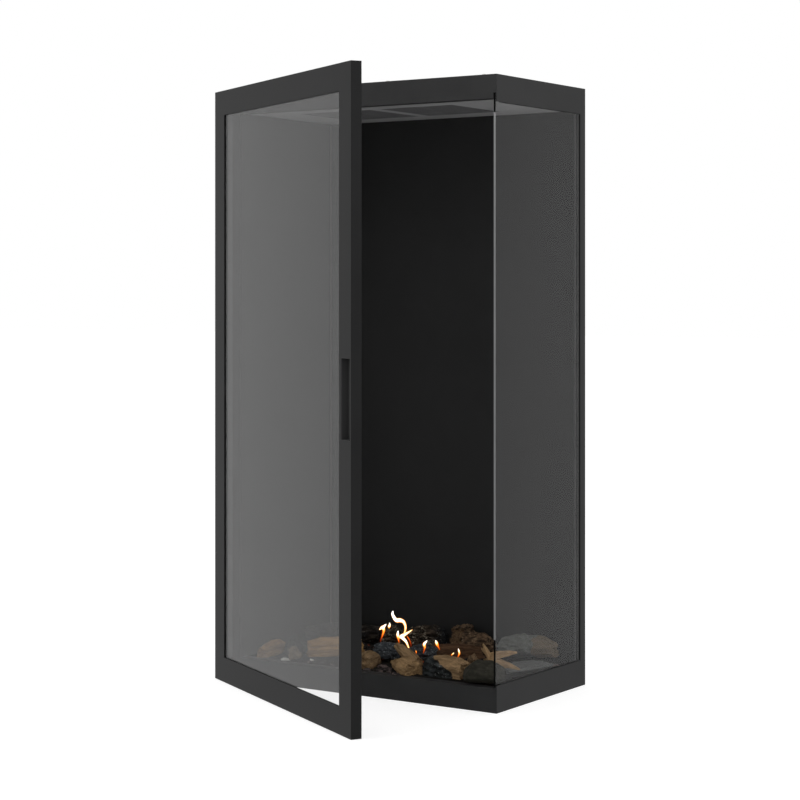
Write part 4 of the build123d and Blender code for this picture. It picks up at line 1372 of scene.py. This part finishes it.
@dataclass
class EmberBed:
    """Granules on the burner plate and bark chips on the deck."""

    shop: Workshop
    granules: int = 1100
    sizes: tuple[float, float] = (3.0, 6.5)
    field_x: tuple[float, float] = (-232.0, 232.0)
    field_y: tuple[float, float] = (-52.0, 80.0)
    glow_limit: float = 150.0
    glow_share: float = 0.12
    # Two chips painted near white: painted highlights standing for glints on the deck
    glint_chips: tuple[tuple[tuple[float, float], float], ...] = (
        ((-187.0, -146.0), 14.0),
        ((-136.0, -127.0), 7.0),
    )

    def build(self) -> None:
        """Scatter the granules and rough up the chips."""
        rng = random.Random(11)
        mesh = bmesh.new()
        glow = mesh.verts.layers.float.new("glow")
        for _ in range(self.granules):
            x = rng.uniform(*self.field_x)
            y = rng.uniform(*self.field_y)
            size = rng.uniform(*self.sizes)
            made = bmesh.ops.create_icosphere(mesh, subdivisions=1, radius=size * MM)
            warm = 1.0 if rng.random() < self.glow_share and x < self.glow_limit else 0.0
            squash = [rng.uniform(low, high) for low, high in ((0.8, 1.3), (0.7, 1.1), (0.5, 0.9))]
            squash = Matrix.Diagonal((*squash, 1.0))
            angle = rng.uniform(0, math.tau)
            turn = Matrix.Rotation(angle, 4, Vector((rng.uniform(-1, 1), rng.uniform(-1, 1), 1)))
            place = Matrix.Translation(Vector((x, y, FLOOR + size * 0.62)) * MM)
            for vertex in made["verts"]:
                vertex.co *= rng.uniform(0.82, 1.15)
                vertex[glow] = warm
            bmesh.ops.transform(mesh, matrix=place @ turn @ squash, verts=made["verts"])
        shade(mesh, 20.0)
        self.shop.place("ember_granules", mesh, Body.CASING, "embers", ["ember_bed"])
        self.crumble_chips()

    def crumble_chips(self) -> None:
        """Stand for the plain bark chips with roughened copies of them."""
        mesh = self.shop.merged("bark_chips")
        bmesh.ops.triangulate(mesh, faces=mesh.faces[:])
        bmesh.ops.subdivide_edges(mesh, edges=mesh.edges[:], cuts=3, use_grid_fill=True)
        layers = {name: mesh.verts.layers.float.new(name) for name in MASKS}
        grain = mesh.verts.layers.float_vector.new("grain")
        for vertex in mesh.verts:
            spot = vertex.co / MM
            # Chips near the listed middles are painted near white, as painted highlights for glints
            pale = any(math.dist(spot.xy, middle) < reach for middle, reach in self.glint_chips)
            shifts = (Vector((shift, 0.0, 7.0)) for shift in (0.0, 31.0, 62.0))
            spot += 1.6 * Vector([noise.noise(spot * 0.25 + shift) for shift in shifts])
            spot.z = max(spot.z, FLOOR)
            char = min(1.0, max(0.0, 0.2 + 1.2 * noise.noise(spot * 0.02)))
            vertex[layers["bark"]] = 0.0 if pale else 1.0
            vertex[layers["char"]] = 0.0 if pale else char
            vertex[grain] = spot * MM
            vertex.co = spot * MM
        shade(mesh, 40.0)
        self.shop.place("bark_chips_rough", mesh, Body.CASING, "bark", ["bark_chips"])


@dataclass
class Tongue:
    """One tongue of flame, in millimetres in the plane that faces the photo's camera.

    Glow is how hot it is at its root and at its tip. Each point is a shift to the right and up from the
    root, and the flame's half width there.
    """

    name: str
    root: tuple[float, float, float]
    glow: tuple[float, float]
    points: tuple[tuple[float, float, float], ...]

    sides: int = 12
    steps: int = 7
    tip: float = 0.05
    flatness: float = 0.6
    warming: float = 1.5

    def line(self) -> list[tuple[Vector, float]]:
        """Return places along a smooth line through the points, with half widths."""
        points = [Vector(point) for point in self.points]
        padded = [points[0] * 2 - points[1], *points, points[-1] * 2 - points[-2]]
        places = []
        for index in range(len(points) - 1):
            a, b, c, d = padded[index : index + 4]
            for step in range(self.steps):
                t = step / self.steps
                square, cube = 2 * a - 5 * b + 4 * c - d, 3 * b - a - 3 * c + d
                places.append(0.5 * (2 * b + (c - a) * t + square * t**2 + cube * t**3))
        places.append(points[-1])
        return [(place.xy, max(place.z, self.tip)) for place in places]

    def build(self, mesh: bmesh.types.BMesh, layer: object) -> None:
        """Add the tongue to a bmesh: a circle drawn along the line, flattened, and closed at both ends.

        Args:
            mesh: The bmesh.
            layer: The layer for how hot the flame is.
        """
        turn = math.radians(CAMERA_TURN)
        right = Vector((math.cos(turn), math.sin(turn), 0.0))
        away = Vector((-math.sin(turn), math.cos(turn), 0.0))
        root = Vector(self.root)
        places = self.line()
        rings: list[list[bmesh.types.BMVert]] = []
        for index, (spot, half) in enumerate(places):
            before = places[max(index - 1, 0)][0]
            after = places[min(index + 1, len(places) - 1)][0]
            ahead = (after - before).normalized()
            centre = root + right * spot.x + UPRIGHT * spot.y
            wide = right * ahead.y - UPRIGHT * ahead.x
            made = bmesh.ops.create_circle(mesh, segments=self.sides, radius=1.0)["verts"]
            low, high = self.glow
            warmth = low + (high - low) * (index / (len(places) - 1)) ** self.warming
            for vertex in made:
                across, depth = vertex.co.x, vertex.co.y
                vertex.co = (centre + wide * across * half + away * depth * half * self.flatness) * MM
                vertex[layer] = warmth
            rings.append(made)
        for lower, upper in zip(rings, rings[1:]):
            edges = [edge for ring in (lower, upper) for edge in ring_edges(ring)]
            bmesh.ops.bridge_loops(mesh, edges=edges)
        for ring in (rings[0], rings[-1]):
            bmesh.ops.contextual_create(mesh, geom=ring)


def ring_edges(ring: Sequence[bmesh.types.BMVert]) -> list[bmesh.types.BMEdge]:
    """Return the edges whose two ends are both in a ring of vertices."""
    members = set(ring)
    return list({edge for vertex in ring for edge in vertex.link_edges if edge.other_vert(vertex) in members})


TONGUES = (
    Tongue("flame_tall", (-2, 4, 95), (0.72, 1.3), (
        (0, 0, 1.2), (3, 8, 2.4), (3, 17, 2.9), (-1, 25, 3.9), (-8, 28, 4.7),
        (-15, 28, 4.3), (-20, 34, 3.2), (-23, 41, 2.4), (-22, 47, 0.8),
    )),
    Tongue("flame_stroke", (-12, 2, 76), (0.4, 1.2), (
        (0, 0, 1.0), (-1, 5, 1.9), (-2, 12, 3.5), (-3, 18, 2.9), (-2, 25, 0.6),
    )),
    Tongue("flame_arm", (-13, 4, 87), (1.0, 0.72), (
        (0, 0, 3.1), (6, 3, 4.3), (11, 6, 3.5), (18, 10, 2.3), (27, 16, 0.6),
    )),
    Tongue("flame_leg", (18, 2, 64), (0.6, 1.15), (
        (0, 0, 0.6), (-5, 4, 1.8), (-8, 11, 2.2), (-12, 19, 2.8), (-19, 26, 3.5),
    )),
    Tongue("flame_red", (14, 6, 69), (0.15, 0.5), ((0, 0, 0.6), (0, 6, 1.7), (-3, 15, 1.7), (-8, 23, 1.0))),
    Tongue("flame_left", (-53, -6, 71), (0.15, 1.2), (
        (0, 0, 0.6), (1, 9, 1.5), (4, 17, 2.3), (7, 27, 3.2), (6, 34, 3.8), (12, 41, 0.4),
    )),
    Tongue("flame_left_tip", (-56, -6, 100), (0.9, 1.1), (
        (0, 0, 0.6), (5, 4, 3.3), (9, 7, 2.7), (14, 11, 0.4),
    )),
    Tongue("flame_drop", (-34, -2, 104), (0.8, 1.1), ((0, 0, 0.6), (0, 4, 3.2), (1, 8, 2.0), (1, 12, 0.4))),
    Tongue("flame_middle", (76.3, -43.6, 69.9), (0.3, 1.2), (
        (0, 0, 0.6), (2, 7, 1.7), (3, 13, 2.6), (2, 19, 3.2), (8, 26, 0.4),
    )),
    Tongue("flame_spark", (61, -46, 68), (0.4, 0.7), ((0, 0, 0.6), (0, 4, 1.6), (-1, 7, 0.4))),
    Tongue("flame_right", (79, 16, 65), (0.3, 1.1), (
        (0, 0, 0.6), (-3, 7, 1.7), (-6, 13, 3.2), (-8, 18, 3.4), (-10, 23, 0.8),
    )),
    Tongue("flame_low", (108, 10, 61), (0.6, 0.9), ((0, 0, 0.6), (3, 3, 1.7), (6, 6, 0.4))),
    Tongue("flame_last", (123, 8, 56), (0.4, 1.1), (
        (0, 0, 0.6), (3, 6, 1.7), (5, 11, 2.2), (4, 16, 1.9), (3, 21, 0.4),
    )),
)


@dataclass
class Flames:
    """The gas flames among the logs."""

    shop: Workshop

    def build(self) -> None:
        """Build each tongue as a piece that rides on the casing."""
        for tongue in TONGUES:
            mesh = bmesh.new()
            layer = mesh.verts.layers.float.new("glow")
            tongue.build(mesh, layer)
            bmesh.ops.recalc_face_normals(mesh, faces=mesh.faces[:])
            shade(mesh, 180.0)
            self.shop.place(tongue.name, mesh, Body.CASING, "", (), "flame")


def main() -> None:
    """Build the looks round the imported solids, in order."""
    logging.basicConfig(level=logging.INFO, format="%(name)s: %(message)s")
    for item in list(bpy.data.objects):
        bpy.data.objects.remove(item)
    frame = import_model()
    Studio().build()
    shop = Workshop(frame, {finish.name: finish.make() for finish in FINISHES})
    for assembly in (Casing, Chamber, SidePane, Door, Burner, LogFire, EmberBed, Flames):
        assembly(shop).build()


if __name__ == "__main__":
    main()
